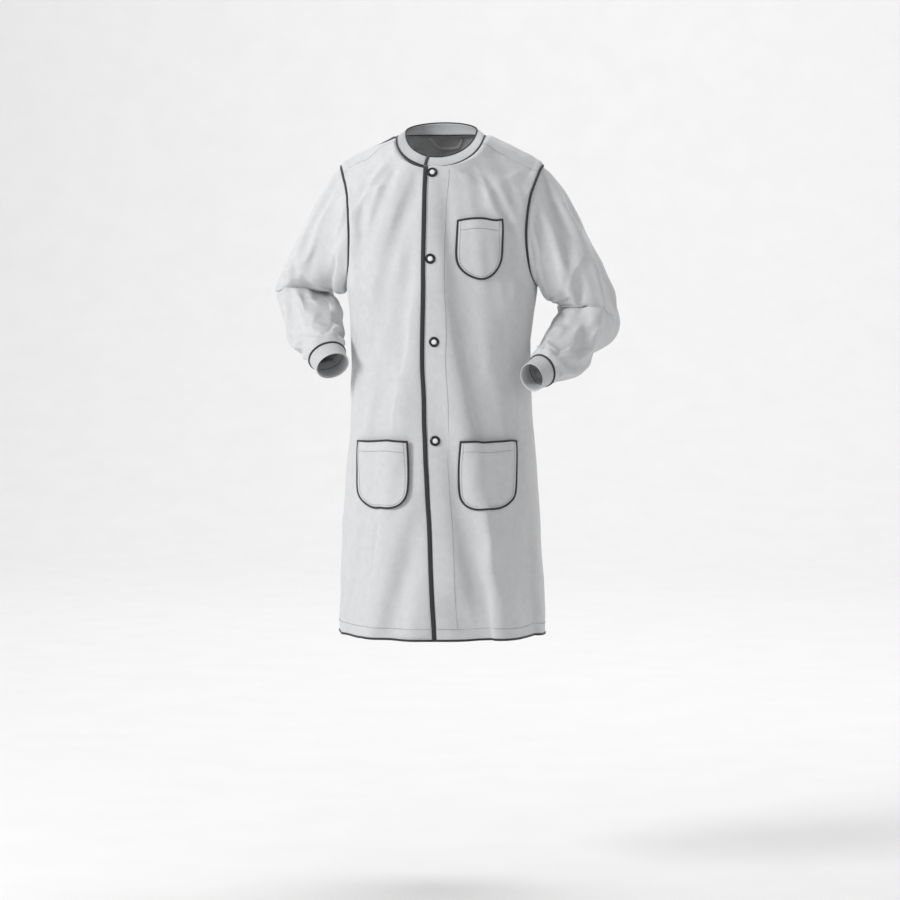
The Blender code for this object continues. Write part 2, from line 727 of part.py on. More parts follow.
clear_scene()
MATERIALS = make_materials()
COAT = new_collection("lab_coat")
CUTTERS = new_collection("cutters")
build()
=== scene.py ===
"""The look of the lab coat: creased cloth, rib knit, dark bindings, stitching and snaps.

The coat's skin is built as one sheet from the same sections as the CAD, creased by a cloth
simulation, and cut into its panels. Everything sewn to it then follows the creased skin.
"""

import math

import bmesh
import bpy
import numpy as np
from mathutils import Matrix, Vector
from mathutils.bvhtree import BVHTree
from mathutils.kdtree import KDTree


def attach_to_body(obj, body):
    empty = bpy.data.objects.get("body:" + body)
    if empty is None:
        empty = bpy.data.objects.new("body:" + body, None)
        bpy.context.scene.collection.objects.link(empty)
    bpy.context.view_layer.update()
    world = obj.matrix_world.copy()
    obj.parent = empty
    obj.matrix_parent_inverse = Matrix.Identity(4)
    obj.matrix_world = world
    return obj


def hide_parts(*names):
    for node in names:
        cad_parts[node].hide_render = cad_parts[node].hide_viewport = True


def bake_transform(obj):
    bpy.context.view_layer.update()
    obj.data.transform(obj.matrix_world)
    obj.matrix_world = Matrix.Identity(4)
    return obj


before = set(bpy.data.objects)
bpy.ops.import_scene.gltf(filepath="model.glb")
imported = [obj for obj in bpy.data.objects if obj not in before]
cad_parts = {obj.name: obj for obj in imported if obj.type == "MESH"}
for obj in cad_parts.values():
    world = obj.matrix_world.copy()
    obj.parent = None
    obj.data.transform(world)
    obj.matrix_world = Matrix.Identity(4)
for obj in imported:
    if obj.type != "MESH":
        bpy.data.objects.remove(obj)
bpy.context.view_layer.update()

# ---- Sizes, in metres, as in the CAD

HEM_Z, ARMPIT_Z = -1.035, -0.310
SHOULDER_NECK, SHOULDER_TIP = (0.0905, -0.005), (0.207, -0.067)
SHOULDER_ROUND, BACK_ROUND = 0.14, 0.09
NECK_DROP_FRONT, NECK_BACK_Y = 0.0665, 0.62
SQUARENESS = 2.5
HALF_WIDTH = ((-0.20, 0.210), (-0.31, 0.190), (-0.44, 0.178), (-0.55, 0.180), (-0.76, 0.194), (HEM_Z, 0.211))
FRONT_DEPTH = ((-0.05, 0.094), (-0.20, 0.126), (-0.31, 0.134), (-0.44, 0.136), (-0.63, 0.143), (HEM_Z, 0.168))
BACK_DEPTH = ((0.01, 0.094), (-0.10, 0.112), (-0.22, 0.128), (-0.44, 0.118), (-0.63, 0.130), (HEM_Z, 0.158))
ARMHOLE_TOP, ARMHOLE_FOOT = (SHOULDER_TIP[1], SHOULDER_TIP[0]), (ARMPIT_Z, 0.190)
ARMHOLE_FRONT = (ARMHOLE_TOP, (-0.13, 0.188), (-0.20, 0.181), (-0.27, 0.184), ARMHOLE_FOOT)
ARMHOLE_BACK = (ARMHOLE_TOP, (-0.13, 0.193), (-0.20, 0.188), (-0.27, 0.188), ARMHOLE_FOOT)
LEFT_EDGE = (
    (-0.07, -0.0235), (-0.30, -0.0238), (-0.46, -0.0256), (-0.63, -0.0207), (-0.80, -0.0130), (HEM_Z, 0.0),
)
RIGHT_LAP = 0.022
UNDER_DEPTH = 0.0048  # how far the right front lies below the left one
EDGE_TOP_ROW = 1.62
SNAPS = ((-0.008, -0.085), (-0.007, -0.260), (0.000, -0.431), (0.002, -0.630))
HIP_POCKET = {"x": (0.050, 0.167), "z": (-0.630, -0.768), "corner": 0.036, "gape": 0.0085}
CHEST_POCKET = {"x": (0.049, 0.136), "z": (-0.178, -0.298), "corner": 0.042, "gape": 0.0060}
BAND_HALF_WIDTH, BAND_SIDE_Z = 0.073, 0.006
BAND_FRONT, BAND_BACK = (-0.074, -0.056), (0.055, 0.019)
CUFF_LENGTH = 0.035
CUFF_STATION = 8
SLEEVE_DEPTH = (0.082, 0.080, 0.077, 0.072, 0.068, 0.062, 0.053, 0.043, 0.035)
SLEEVES = {
    "left": (
        (
            (0.207, 0.000, -0.067), (0.263, 0.010, -0.140), (0.306, 0.022, -0.218), (0.342, 0.035, -0.300),
            (0.3715, 0.050, -0.391),
            (0.3345, 0.012, -0.437), (0.299, -0.035, -0.478),
            (0.266, -0.072, -0.506), (0.233, -0.105, -0.514),
        ),
        (
            (0.190, 0.000, -0.310), (0.205, 0.004, -0.328), (0.220, 0.010, -0.341), (0.236, 0.016, -0.350),
            (0.250, 0.020, -0.358),
            (0.230, -0.012, -0.385), (0.213, -0.048, -0.416),
            (0.205, -0.078, -0.437), (0.200, -0.100, -0.458),
        ),
    ),
    "right": (
        (
            (-0.207, 0.000, -0.067), (-0.2505, 0.020, -0.135),
            (-0.2933, 0.050, -0.210), (-0.327, 0.078, -0.275),
            (-0.354, 0.100, -0.336),
            (-0.337, 0.060, -0.385), (-0.312, 0.005, -0.430),
            (-0.290, -0.035, -0.458), (-0.262, -0.070, -0.480),
        ),
        (
            (-0.190, 0.000, -0.310), (-0.205, 0.008, -0.316),
            (-0.221, 0.018, -0.319), (-0.240, 0.028, -0.321),
            (-0.262, 0.040, -0.322),
            (-0.219, 0.010, -0.352), (-0.210, -0.025, -0.387),
            (-0.203, -0.052, -0.416), (-0.1965, -0.075, -0.438),
        ),
    ),
}

CLOTH = 0.0010
COLUMNS = 30
LOW_ROWS, CHEST_ROWS, NECK_ROWS, SHOULDER_ROWS = 62, 20, 10, 10
RING_POINTS = 2 * (CHEST_ROWS + NECK_ROWS + SHOULDER_ROWS)
SLEEVE_STEPS = 56
SPLIT_STATION = 2.0  # the sleeve's skin is cut into two pieces here
SIM_FRAMES = 40
ROUGHNESS = 0.004  # how uneven the cloth is when the simulation starts
SAG_ROUNDS = 90  # rounds of averaging that leave only the slow sag of the simulated cloth
FOLD_LIMIT = 0.013
ARM_X = 0.214  # further out than this the skin belongs to an arm
KNIT, RIB_HEIGHT, RIB_QUARTER = 0.0022, 0.00055, 0.00075  # thickness of the knit, and its ribs
POCKET_LIFT = 0.0016
FACING_WIDTH = 0.048
VIEW_WIDTH = 1.872  # how much of the scene the camera sees across, level with the coat


# ---- Curves and the coat's skin, as in the CAD


def mix(a, b, share):
    return a + (b - a) * share


def smooth(share):
    share = min(1.0, max(0.0, share))
    return share * share * (3 - 2 * share)


def slope_at(keys, i):
    before, after = keys[max(i - 1, 0)], keys[min(i + 1, len(keys) - 1)]
    return (after[1] - before[1]) / (after[0] - before[0])


def along(keys, z):
    if z >= keys[0][0]:
        return keys[0][1]
    for i, ((z_high, high), (z_low, low)) in enumerate(zip(keys, keys[1:])):
        if z >= z_low:
            t = (z_high - z) / (z_high - z_low)
            span = z_low - z_high
            start, end = slope_at(keys, i) * span, slope_at(keys, i + 1) * span
            return (
                high * (2 * t**3 - 3 * t**2 + 1)
                + start * (t**3 - 2 * t**2 + t)
                + low * (3 * t**2 - 2 * t**3)
                + end * (t**3 - t**2)
            )
    return keys[-1][1]


def spaced(low, high, steps):
    return [mix(low, high, i / steps) for i in range(steps + 1)]


def through(points, station):
    last = len(points) - 1
    i = min(int(max(station, 0)), last - 1)
    share = station - i
    here, there = Vector(points[i]), Vector(points[i + 1])
    before = Vector(points[i - 1]) if i > 0 else here * 2 - there
    after = Vector(points[i + 2]) if i + 2 <= last else there * 2 - here
    tangent_in, tangent_out = (there - before) / 2, (after - here) / 2
    return (
        here * (2 * share**3 - 3 * share**2 + 1)
        + tangent_in * (share**3 - 2 * share**2 + share)
        + there * (3 * share**2 - 2 * share**3)
        + tangent_out * (share**3 - share**2)
    )


def shoulder_z(x):
    slope = (SHOULDER_TIP[1] - SHOULDER_NECK[1]) / (SHOULDER_TIP[0] - SHOULDER_NECK[0])
    near = SHOULDER_NECK[0]
    if abs(x) >= near:
        return SHOULDER_NECK[1] + slope * (abs(x) - near)
    return SHOULDER_NECK[1] + slope * (x * x - near * near) / (2 * near)


def body_y(x, z, depths, rounding):
    across = min(1.0, abs(x) / along(HALF_WIDTH, z))
    below = min(1.0, max(0.0, (shoulder_z(x) - z) / rounding))
    section = (1 - across**SQUARENESS) ** (1 / SQUARENESS)
    return along(depths, z) * section * math.sqrt(1 - (1 - below) ** 2)


def front_y(x, z):
    return -body_y(x, z, FRONT_DEPTH, SHOULDER_ROUND)


def back_y(x, z):
    return body_y(x, z, BACK_DEPTH, BACK_ROUND)


def angle_of(x, z):
    share = abs(x) / along(HALF_WIDTH, z)
    return math.acos(math.copysign(min(1.0, share) ** (SQUARENESS / 2), x))


def x_of(angle, z):
    c = math.cos(angle)
    return along(HALF_WIDTH, z) * math.copysign(abs(c) ** (2 / SQUARENESS), c)


def front_neckline(angle):
    return SHOULDER_NECK[0] * math.cos(angle), SHOULDER_NECK[1] - NECK_DROP_FRONT * math.sin(angle)


def back_neckline(angle):
    x = SHOULDER_NECK[0] * math.cos(angle)
    depth = NECK_BACK_Y * max(0.0, math.sin(angle)) ** 1.2
    return x, shoulder_z(x) - BACK_ROUND * (1 - math.sqrt(1 - depth**2))


def neck_angle(row, edge):
    return math.acos(edge[0][1] / SHOULDER_NECK[0]) * (2 - row) / (2 - EDGE_TOP_ROW)


def seam_side(row, armhole):
    if row <= 1:
        z = mix(HEM_Z, ARMPIT_Z, row)
        return along(HALF_WIDTH, z), z
    z = mix(ARMPIT_Z, SHOULDER_TIP[1], row - 1)
    return along(armhole, z), z


def seam_centre(row, edge, neckline):
    if row <= 1:
        z = mix(HEM_Z, ARMPIT_Z, row)
        return along(edge, z), z
    if row < EDGE_TOP_ROW:
        top_z = neckline(neck_angle(EDGE_TOP_ROW, edge))[1]
        z = mix(ARMPIT_Z, top_z, (row - 1) / (EDGE_TOP_ROW - 1))
        return along(edge, z), z
    return neckline(neck_angle(row, edge))


def body_point(column, row, edge, armhole, neckline, skin_y):
    side_x, side_z = seam_side(row, armhole)
    end_x, end_z = seam_centre(row, edge, neckline)
    side_angle = angle_of(side_x, side_z) if row > 1 else 0.0
    angle = mix(side_angle, angle_of(end_x, end_z), column)
    z = mix(side_z, end_z, column)
    x = x_of(angle, z)
    if row > 1:
        drop = mix(shoulder_z(side_x) - side_z, shoulder_z(end_x) - end_z, column)
        z = mix(z, shoulder_z(x) - drop, smooth(row - 1))
    return Vector((x, skin_y(x, z), z))


CENTRE = ((0.01, 0.0), (HEM_Z, 0.0))
RIGHT_VISIBLE = tuple((z, -x) for z, x in LEFT_EDGE)


def front_point(column, row, edge):
    return body_point(column, row, edge, ARMHOLE_FRONT, front_neckline, front_y)


def back_point(column, row):
    return body_point(column, row, CENTRE, ARMHOLE_BACK, back_neckline, back_y)


def band_point(angle, share):
    turn = math.sin(angle)
    if turn >= 0:
        x, z = front_neckline(angle)
        low = Vector((x, front_y(x, z), z))
    else:
        x, z = back_neckline(-angle)
        low = Vector((x, back_y(x, z), z))
    y_end, z_end = BAND_FRONT if turn >= 0 else BAND_BACK
    high = Vector((BAND_HALF_WIDTH * math.cos(angle), y_end * abs(turn), BAND_SIDE_Z + z_end * abs(turn)))
    out = Vector((math.cos(angle), -turn, 0.5)).normalized()
    return low.lerp(high, share) + out * 0.0018 * math.sin(math.pi * share)


def sleeve_frame(side, station):
    outer, inner = SLEEVES[side]
    top, low = through(outer, station), through(inner, station)
    step = 0.05
    ahead = (through(outer, station + step) + through(inner, station + step)) / 2
    behind = (through(outer, station - step) + through(inner, station - step)) / 2
    across = (top - low) / 2
    normal = (ahead - behind).cross(across).normalized()
    if normal.y > 0:
        normal = -normal
    return (top + low) / 2, across, normal


# ---- Grids of the skin


def opening_rows():
    chest = [mix(1, EDGE_TOP_ROW, 1 - (1 - share) ** 1.25) for share in spaced(0, 1, CHEST_ROWS)]
    neck = spaced(EDGE_TOP_ROW, 1.8, NECK_ROWS)
    return spaced(0, 1, LOW_ROWS) + chest[1:] + neck[1:]


ROWS = opening_rows() + spaced(1.8, 2, SHOULDER_ROWS)[1:]
SHARES = spaced(0, 1, COLUMNS)


def flip_x(p):
    return Vector((-p.x, p.y, p.z))


def body_grids():
    left = [[front_point(c, r, LEFT_EDGE) for c in SHARES] for r in ROWS]
    right = [[flip_x(front_point(c, r, RIGHT_VISIBLE)) for c in SHARES] for r in ROWS]
    back_left = [[back_point(c, r) for c in SHARES] for r in ROWS]
    back_right = [[flip_x(p) for p in row] for row in back_left]
    return {"left_front": left, "right_front": right, "back_left": back_left, "back_right": back_right}


def crease(side, station, turn):
    """Folds across the inside of the elbow: how far the skin is pushed out there."""
    inside = max(0.0, -math.cos(turn)) ** 1.1
    front = 0.5 + 0.5 * math.sin(turn)
    near = math.exp(-(((station - 3.95) / 0.85) ** 2))
    slant = 0.55 * math.sin(turn) + 0.25 * math.sin(2 * turn + 0.8)
    wave = math.cos(2 * math.pi * (station - 3.98 + slant * 0.45) / 0.62)
    sharp = math.copysign(abs(wave) ** 0.8, wave)
    high = 0.0075 if side == "left" else 0.0068
    return high * near * sharp * (0.35 + 0.65 * inside) * (0.45 + 0.55 * front)


def sleeve_grids(armholes):
    grids = {}
    for side in ("left", "right"):
        loop = armholes[side]
        outer, inner = SLEEVES[side]
        loop_centre = (Vector(outer[0]) + Vector(inner[0])) / 2
        rings = []
        for station in sleeve_stations():
            centre, across, normal = sleeve_frame(side, station)
            i = min(int(station), CUFF_STATION - 1)
            depth = mix(SLEEVE_DEPTH[i], SLEEVE_DEPTH[i + 1], station - i)
            hold = 1 - smooth(station / 2.2)
            ring = []
            for k in range(RING_POINTS):
                turn = math.pi * k / (RING_POINTS / 2)
                direction = across * math.cos(turn) + normal * depth * math.sin(turn)
                out = direction.normalized()
                swell = crease(side, station, turn)
                grown = loop[k] - loop_centre + centre
                ring.append((centre + direction + out * swell).lerp(grown, hold))
            rings.append(ring)
        split = sleeve_stations().index(SPLIT_STATION)
        grids[side + "_upper_sleeve"] = rings[: split + 1]
        grids[side + "_lower_sleeve"] = rings[split:]
    return grids


def sleeve_stations():
    first = spaced(0, SPLIT_STATION, 18)
    return first + spaced(SPLIT_STATION, CUFF_STATION, SLEEVE_STEPS)[1:]


class Shell:
    """The whole skin as one welded mesh, with its panels' grids as numbers of its points."""

    def __init__(self):
        self.rest = []
        self.number = {}
        self.grids = {}
        self.faces = {}

    def point(self, p):
        key = (round(p.x, 5), round(p.y, 5), round(p.z, 5))
        if key not in self.number:
            self.number[key] = len(self.rest)
            self.rest.append(tuple(p))
        return self.number[key]

    def add(self, name, grid, ring=False, flip=False):
        numbers = [[self.point(p) for p in row] for row in grid]
        if ring:
            numbers = [row + row[:1] for row in numbers]
        self.grids[name] = numbers
        faces = []
        for r in range(len(numbers) - 1):
            for c in range(len(numbers[0]) - 1):
                a, b = numbers[r][c], numbers[r][c + 1]
                d, e = numbers[r + 1][c + 1], numbers[r + 1][c]
                faces.append(((a, b, d, e) if not flip else (e, d, b, a), r, c))
        self.faces[name] = faces


def make_shell():
    shell = Shell()
    body = body_grids()
    shell.add("left_front", body["left_front"], flip=True)
    shell.add("right_front", body["right_front"])
    shell.add("back_left", body["back_left"])
    shell.add("back_right", body["back_right"], flip=True)
    first = ROWS.index(1)
    armholes = {}
    for side in ("left", "right"):
        front = [row[0] for row in body[side + "_front"][first:]]
        rear = [row[0] for row in body["back_" + side][first:]]
        armholes[side] = front[::-1] + rear[1:-1]
    for name, rings in sleeve_grids(armholes).items():
        shell.add(name, rings, ring=True, flip=name.startswith("right"))
    return shell


SHELL = make_shell()
REST = np.array(SHELL.rest)


# ---- Creasing the skin by simulation


def pin_weights():
    """How firmly each point keeps its place: sewn edges fully, the stiff placket partly, the rest lightly."""
    weights = np.full(len(REST), 0.012)
    x, y, z = REST.T
    edge = np.array([along(LEFT_EDGE, h) for h in z])
    placket = np.exp(-(((x - edge - 0.012) / 0.028) ** 2)) * (y < 0) * (np.abs(x) < 0.1)
    weights = np.maximum(weights, 0.35 * placket)

    def hold(numbers, weight):
        weights[numbers] = np.maximum(weights[numbers], weight)

    g = SHELL.grids
    top = ROWS.index(EDGE_TOP_ROW)
    for name in ("left_front", "right_front", "back_left", "back_right"):
        hold([row[-1] for row in g[name][top:]], 1.0)
        hold([row[-2] for row in g[name][top:]], 0.7)
        hold(g[name][-1], 0.6)
        hold([row[0] for row in g[name][ROWS.index(1):]], 0.30)
    for side in ("left", "right"):
        hold(g[side + "_lower_sleeve"][-1], 1.0)
        hold(g[side + "_lower_sleeve"][-2], 0.6)
    return weights


def all_faces():
    return [face for faces in SHELL.faces.values() for face, _, _ in faces]


def spread_out(values, rounds):
    """Values at the skin's points, each averaged with its neighbours again and again."""
    quads = np.array(all_faces())
    pairs = np.concatenate([quads[:, [0, 1]], quads[:, [1, 2]], quads[:, [2, 3]], quads[:, [3, 0]]])
    pairs = np.unique(np.sort(pairs, axis=1), axis=0)
    a, b = pairs.T
    count = np.bincount(pairs.ravel(), minlength=len(values))[:, None]
    values = values.copy()
    for _ in range(rounds):
        total = np.zeros_like(values)
        np.add.at(total, a, values[b])
        np.add.at(total, b, values[a])
        values = 0.4 * values + 0.6 * total / count
    return values


def simulate():
    """Where the skin goes as cloth: larger than the space it is held in, so it buckles and hangs in folds."""
    mesh = bpy.data.meshes.new("skin")
    mesh.from_pydata([tuple(p) for p in REST], [], all_faces())
    obj = bpy.data.objects.new("skin", mesh)
    bpy.context.scene.collection.objects.link(obj)
    group = obj.vertex_groups.new(name="pin")
    weights = pin_weights()
    for i, weight in enumerate(weights):
        group.add([i], float(weight), "REPLACE")
    rough = np.random.default_rng(11).normal(0, 1, REST.shape)
    rough = spread_out(rough, 12)
    rough *= ROUGHNESS / rough.std() * (1 - weights)[:, None]
    mesh.vertices.foreach_set("co", (REST + rough).ravel())
    obj.shape_key_add(name="Basis")
    larger = obj.shape_key_add(name="larger")
    size = REST.copy()
    arms = np.abs(REST[:, 0]) > ARM_X
    low = np.clip((-0.10 - REST[:, 2]) / 0.5, 0, 1)
    size[:, 0] *= np.where(arms, 1.05, 1.045 + 0.035 * low)
    size[:, 1] *= np.where(arms, 1.06, 1.06 + 0.06 * low)
    size[:, 2] *= np.where(arms, 1.05, 1.012)
    larger.data.foreach_set("co", size.ravel())
    cloth = obj.modifiers.new("cloth", "CLOTH")
    s = cloth.settings
    s.quality = 6
    s.mass = 0.15
    s.tension_stiffness = s.compression_stiffness = 15
    s.shear_stiffness = 4
    s.bending_stiffness = 0.12
    s.tension_damping = s.compression_damping = s.shear_damping = 5
    s.bending_damping = 0.5
    s.air_damping = 3
    s.vertex_group_mass = "pin"
    s.pin_stiffness = 1.0
    s.rest_shape_key = larger
    cloth.collision_settings.use_collision = False
    cloth.point_cache.frame_start, cloth.point_cache.frame_end = 1, SIM_FRAMES
    scene = bpy.context.scene
    for f in range(1, SIM_FRAMES + 1):
        scene.frame_set(f)
    evaluated = obj.evaluated_get(bpy.context.evaluated_depsgraph_get())
    found = np.empty(len(REST) * 3)
    evaluated.data.vertices.foreach_get("co", found)
    scene.frame_set(1)
    bpy.data.objects.remove(obj, do_unlink=True)
    return found.reshape(-1, 3)


def folded():
    """The resting skin with the simulated cloth's folds on it, without its slow sagging."""
    moved = simulate() - REST
    folds = spread_out(moved - spread_out(moved, SAG_ROUNDS), 2)
    x, y, z = REST.T
    stiff = np.ones(len(REST))
    for pocket, signs in ((HIP_POCKET, (1, -1)), (CHEST_POCKET, (1,))):
        (near, far), (top, foot) = pocket["x"], pocket["z"]
        for sign in signs:
            across = np.clip((abs(x * sign - (near + far) / 2) - (far - near) / 2) / 0.02, 0, 1)
            up = np.clip((abs(z - (top + foot) / 2) - (top - foot) / 2) / 0.02, 0, 1)
            beside = np.where((y < 0) & (x * sign > 0), np.maximum(across, up), 1)
            stiff *= 0.45 + 0.55 * beside
    stiff = spread_out(stiff[:, None], 6)
    folds *= stiff
    edge = np.array([along(LEFT_EDGE, h) for h in z])
    placket = np.exp(-(((x - edge - 0.008) / 0.040) ** 4)) * (y < 0) * (np.abs(x) < 0.1)
    folds[:, 0] *= 1 - 0.85 * placket
    folds[:, 1:] *= (1 - 0.45 * placket)[:, None]
    hem = np.exp(-(((z - HEM_Z) / 0.05) ** 2)) * (np.abs(x) < ARM_X)
    folds[:, 2] *= 1 - 0.8 * hem
    for grid, rounds, share in (("_upper_sleeve", 10, 0.8), ("_lower_sleeve", 12, 0.85)):
        seam = np.zeros(len(REST))
        for side in ("left", "right"):
            seam[SHELL.grids[side + grid][0]] = 1.0
        seam = spread_out(seam[:, None], rounds)
        folds *= 1 - share * seam / seam.max()
    size = np.linalg.norm(folds, axis=1)[:, None]
    folds *= np.tanh(size / FOLD_LIMIT) * FOLD_LIMIT / np.maximum(size, 1e-9)
    sewn = pin_weights() > 0.9
    folds[sewn] = 0
    return REST + folds


SKIN = folded()


def point_normals(points):
    faces = np.array(all_faces())
    a, b, c, d = (points[faces[:, i]] for i in range(4))
    turned = np.cross(c - a, d - b)
    normals = np.zeros_like(points)
    for i in range(4):
        np.add.at(normals, faces[:, i], turned)
    return normals / np.maximum(np.linalg.norm(normals, axis=1), 1e-12)[:, None]


REST_NORMALS, SKIN_NORMALS = point_normals(REST), point_normals(SKIN)
TRIANGLES = [t for q in all_faces() for t in ((q[0], q[1], q[2]), (q[0], q[2], q[3]))]
REST_TREE = BVHTree.FromPolygons([Vector(p) for p in REST], TRIANGLES)


def follow(points):
    """Where points near the resting skin go on the creased one, and the creased skin's normals there."""
    moved, normals = [], []
    for p in points:
        p = Vector(p)
        near, _, index, _ = REST_TREE.find_nearest(p)
        tri = TRIANGLES[index]
        a, b, c = (Vector(REST[i]) for i in tri)
        ab, ac, ap = b - a, c - a, near - a
        d00, d01, d11 = ab.dot(ab), ab.dot(ac), ac.dot(ac)
        d20, d21 = ap.dot(ab), ap.dot(ac)
        scale = d00 * d11 - d01 * d01
        v = (d11 * d20 - d01 * d21) / scale if abs(scale) > 1e-18 else 0.0
        w = (d00 * d21 - d01 * d20) / scale if abs(scale) > 1e-18 else 0.0
        share = np.array([1 - v - w, v, w])
        at = share @ SKIN[list(tri)]
        n_rest = share @ REST_NORMALS[list(tri)]
        n_rest = n_rest / np.linalg.norm(n_rest)
        n_skin = share @ SKIN_NORMALS[list(tri)]
        n_skin = n_skin / np.linalg.norm(n_skin)
        offset = np.array(p - near)
        lift = float(offset @ n_rest)
        moved.append(at + n_skin * lift + (offset - n_rest * lift))
        normals.append(n_skin)
    return np.array(moved), np.array(normals)


# ---- Placing pieces: baked where they stand, or carried by the coat's body


def bend_with_front(obj):
    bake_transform(obj)


def attach(obj, side=None):
    """Bake a piece of one side's front where it stands, or let it ride on the coat's body."""
    if side:
        bend_with_front(obj)
    else:
        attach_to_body(obj, "coat_body")


# ---- Materials


class Paint:
    """A material being put together from nodes."""

    def __init__(self, name):
        self.material = bpy.data.materials.new(name)
        self.material.use_nodes = True
        self.tree = self.material.node_tree
        self.shader = self.tree.nodes["Principled BSDF"]

    def node(self, kind, **values):
        node = self.tree.nodes.new(kind)
        for key, value in values.items():
            if hasattr(node, key):
                setattr(node, key, value)
            else:
                node.inputs[key.replace("_", " ")].default_value = value
        return node

    def link(self, out, into):
        self.tree.links.new(out, into)

    def math(self, operation, a, b=None):
        node = self.node("ShaderNodeMath", operation=operation)
        for socket, value in zip(node.inputs, (a, b)):
            if value is None:
                continue
            if isinstance(value, (int, float)):
                socket.default_value = value
            else:
                self.link(value, socket)
        return node.outputs[0]

    def uv(self):
        split = self.node("ShaderNodeSeparateXYZ")
        self.link(self.node("ShaderNodeTexCoord").outputs["UV"], split.inputs[0])
        return split.outputs[0], split.outputs[1]

    def wave(self, value, pitch, shift=0.0):
        """0 to 1 and back, once per pitch of value."""
        turns = self.math("MULTIPLY_ADD", value, 2 * math.pi / pitch)
        turns.node.inputs[2].default_value = shift
        return self.math("MULTIPLY_ADD", self.math("SINE", turns), 0.5)

    def noise(self, scale, detail=3.0, roughness=0.55, stretch=(1, 1, 1)):
        place = self.node("ShaderNodeMapping")
        place.inputs["Scale"].default_value = stretch
        self.link(self.node("ShaderNodeTexCoord").outputs["Object"], place.inputs["Vector"])
        noise = self.node("ShaderNodeTexNoise")
        noise.inputs["Scale"].default_value = scale
        noise.inputs["Detail"].default_value = detail
        noise.inputs["Roughness"].default_value = roughness
        self.link(place.outputs[0], noise.inputs["Vector"])
        return noise.outputs[0]

    def bump(self, height, distance, before=None, strength=1.0):
        bump = self.node("ShaderNodeBump")
        bump.inputs["Distance"].default_value = distance
        bump.inputs["Strength"].default_value = strength
        self.link(height, bump.inputs["Height"])
        if before is not None:
            self.link(before, bump.inputs["Normal"])
        return bump.outputs[0]

    def tint(self, factor, dark, light, low=0.3, high=0.7):
        ramp = self.node("ShaderNodeValToRGB")
        ramp.color_ramp.elements[0].position, ramp.color_ramp.elements[1].position = low, high
        ramp.color_ramp.elements[0].color = (*dark, 1)
        ramp.color_ramp.elements[1].color = (*light, 1)
        self.link(factor, ramp.inputs[0])
        self.link(ramp.outputs[0], self.shader.inputs["Base Color"])

    def surface(self, roughness, metallic=0.0, sheen=0.0, normal=None):
        self.shader.inputs["Roughness"].default_value = roughness
        self.shader.inputs["Metallic"].default_value = metallic
        self.shader.inputs["Sheen Weight"].default_value = sheen
        self.shader.inputs["Sheen Roughness"].default_value = 0.5
        if normal is not None:
            self.link(normal, self.shader.inputs["Normal"])
        return self.material


def cloth_material():
    """Poly-cotton twill: fine diagonal ribs of crossed threads, slubs, and the faint crush of worn cloth."""
    p = Paint("poly_cotton_twill")
    u, v = p.uv()
    twill = p.wave(p.math("ADD", u, v), 0.0009)
    weft = p.wave(v, 0.0007)
    threads = p.math("MULTIPLY_ADD", weft, 0.4)
    p.link(twill, threads.node.inputs[2])
    slub = p.noise(900, 2, 0.6, (1, 1, 0.12))
    crush = p.noise(16, 5, 0.60, (1, 1, 0.7))
    fine = p.noise(70, 3, 0.5)
    normal = p.bump(crush, 0.0045, strength=0.55)
    normal = p.bump(fine, 0.0008, normal, 0.45)
    normal = p.bump(threads, 0.00014, normal, 0.6)
    heather = p.math("MULTIPLY_ADD", slub, 0.55)
    p.link(p.math("MULTIPLY", fine, 0.45), heather.node.inputs[2])
    p.tint(heather, (0.600, 0.605, 0.615), (0.685, 0.690, 0.700))
    return p.surface(0.86, sheen=0.18, normal=normal)


def rib_material(name, dark, light):
    p = Paint(name)
    _, v = p.uv()
    loops = p.wave(v, 0.0012)
    normal = p.bump(p.noise(420, 3), 0.0005, strength=0.5)
    normal = p.bump(loops, 0.00022, normal, 0.8)
    p.tint(p.noise(500, 3, 0.6), dark, light)
    return p.surface(0.93, sheen=0.35, normal=normal)


def woven_material(name, pitch, depth, strength, grain, dark, light, roughness, sheen):
    """Binding, thread or tape with a diagonal weave of the given pitch and depth."""
    p = Paint(name)
    u, v = p.uv()
    normal = p.bump(p.wave(p.math("ADD", u, v), pitch), depth, strength=strength)
    p.tint(p.noise(*grain), dark, light)
    return p.surface(roughness, sheen=sheen, normal=normal)


def hard_material(name, grain, dark, light, pits, depth, strength, roughness, metallic):
    p = Paint(name)
    p.tint(p.noise(*grain), dark, light)
    normal = p.bump(p.noise(*pits), depth, strength=strength)
    return p.surface(roughness, metallic=metallic, normal=normal)


def floor_material():
    p = Paint("paper")
    p.tint(p.noise(6, 2), (0.80, 0.80, 0.80), (0.82, 0.82, 0.82))
    return p.surface(0.9)


TWILL = cloth_material()
RIB = rib_material("rib_knit", (0.53, 0.535, 0.545), (0.63, 0.635, 0.645))
BINDING = woven_material(
    "charcoal_binding", 0.0010, 0.00018, 0.8, (700, 3), (0.012, 0.012, 0.014), (0.035, 0.035, 0.04), 0.8, 0.25
)
DARK_THREAD = woven_material(
    "charcoal_thread", 0.0007, 0.0001, 0.7, (1500, 2), (0.05, 0.05, 0.055), (0.075, 0.075, 0.0815), 0.6, 0.2
)
METAL = hard_material(
    "gunmetal", (160, 4), (0.030, 0.031, 0.034), (0.060, 0.062, 0.068), (1200, 3), 0.00003, 0.4, 0.30, 0.9
)
ENAMEL = hard_material(
    "white_enamel", (260, 3), (0.84, 0.84, 0.83), (0.90, 0.90, 0.89), (600, 2), 0.00002, 0.3, 0.22, 0.0
)
TAPE = woven_material(
    "cotton_tape", 0.0012, 0.0002, 0.8, (600, 3), (0.74, 0.74, 0.72), (0.83, 0.83, 0.80), 0.85, 0.2
)


# ---- Building pieces


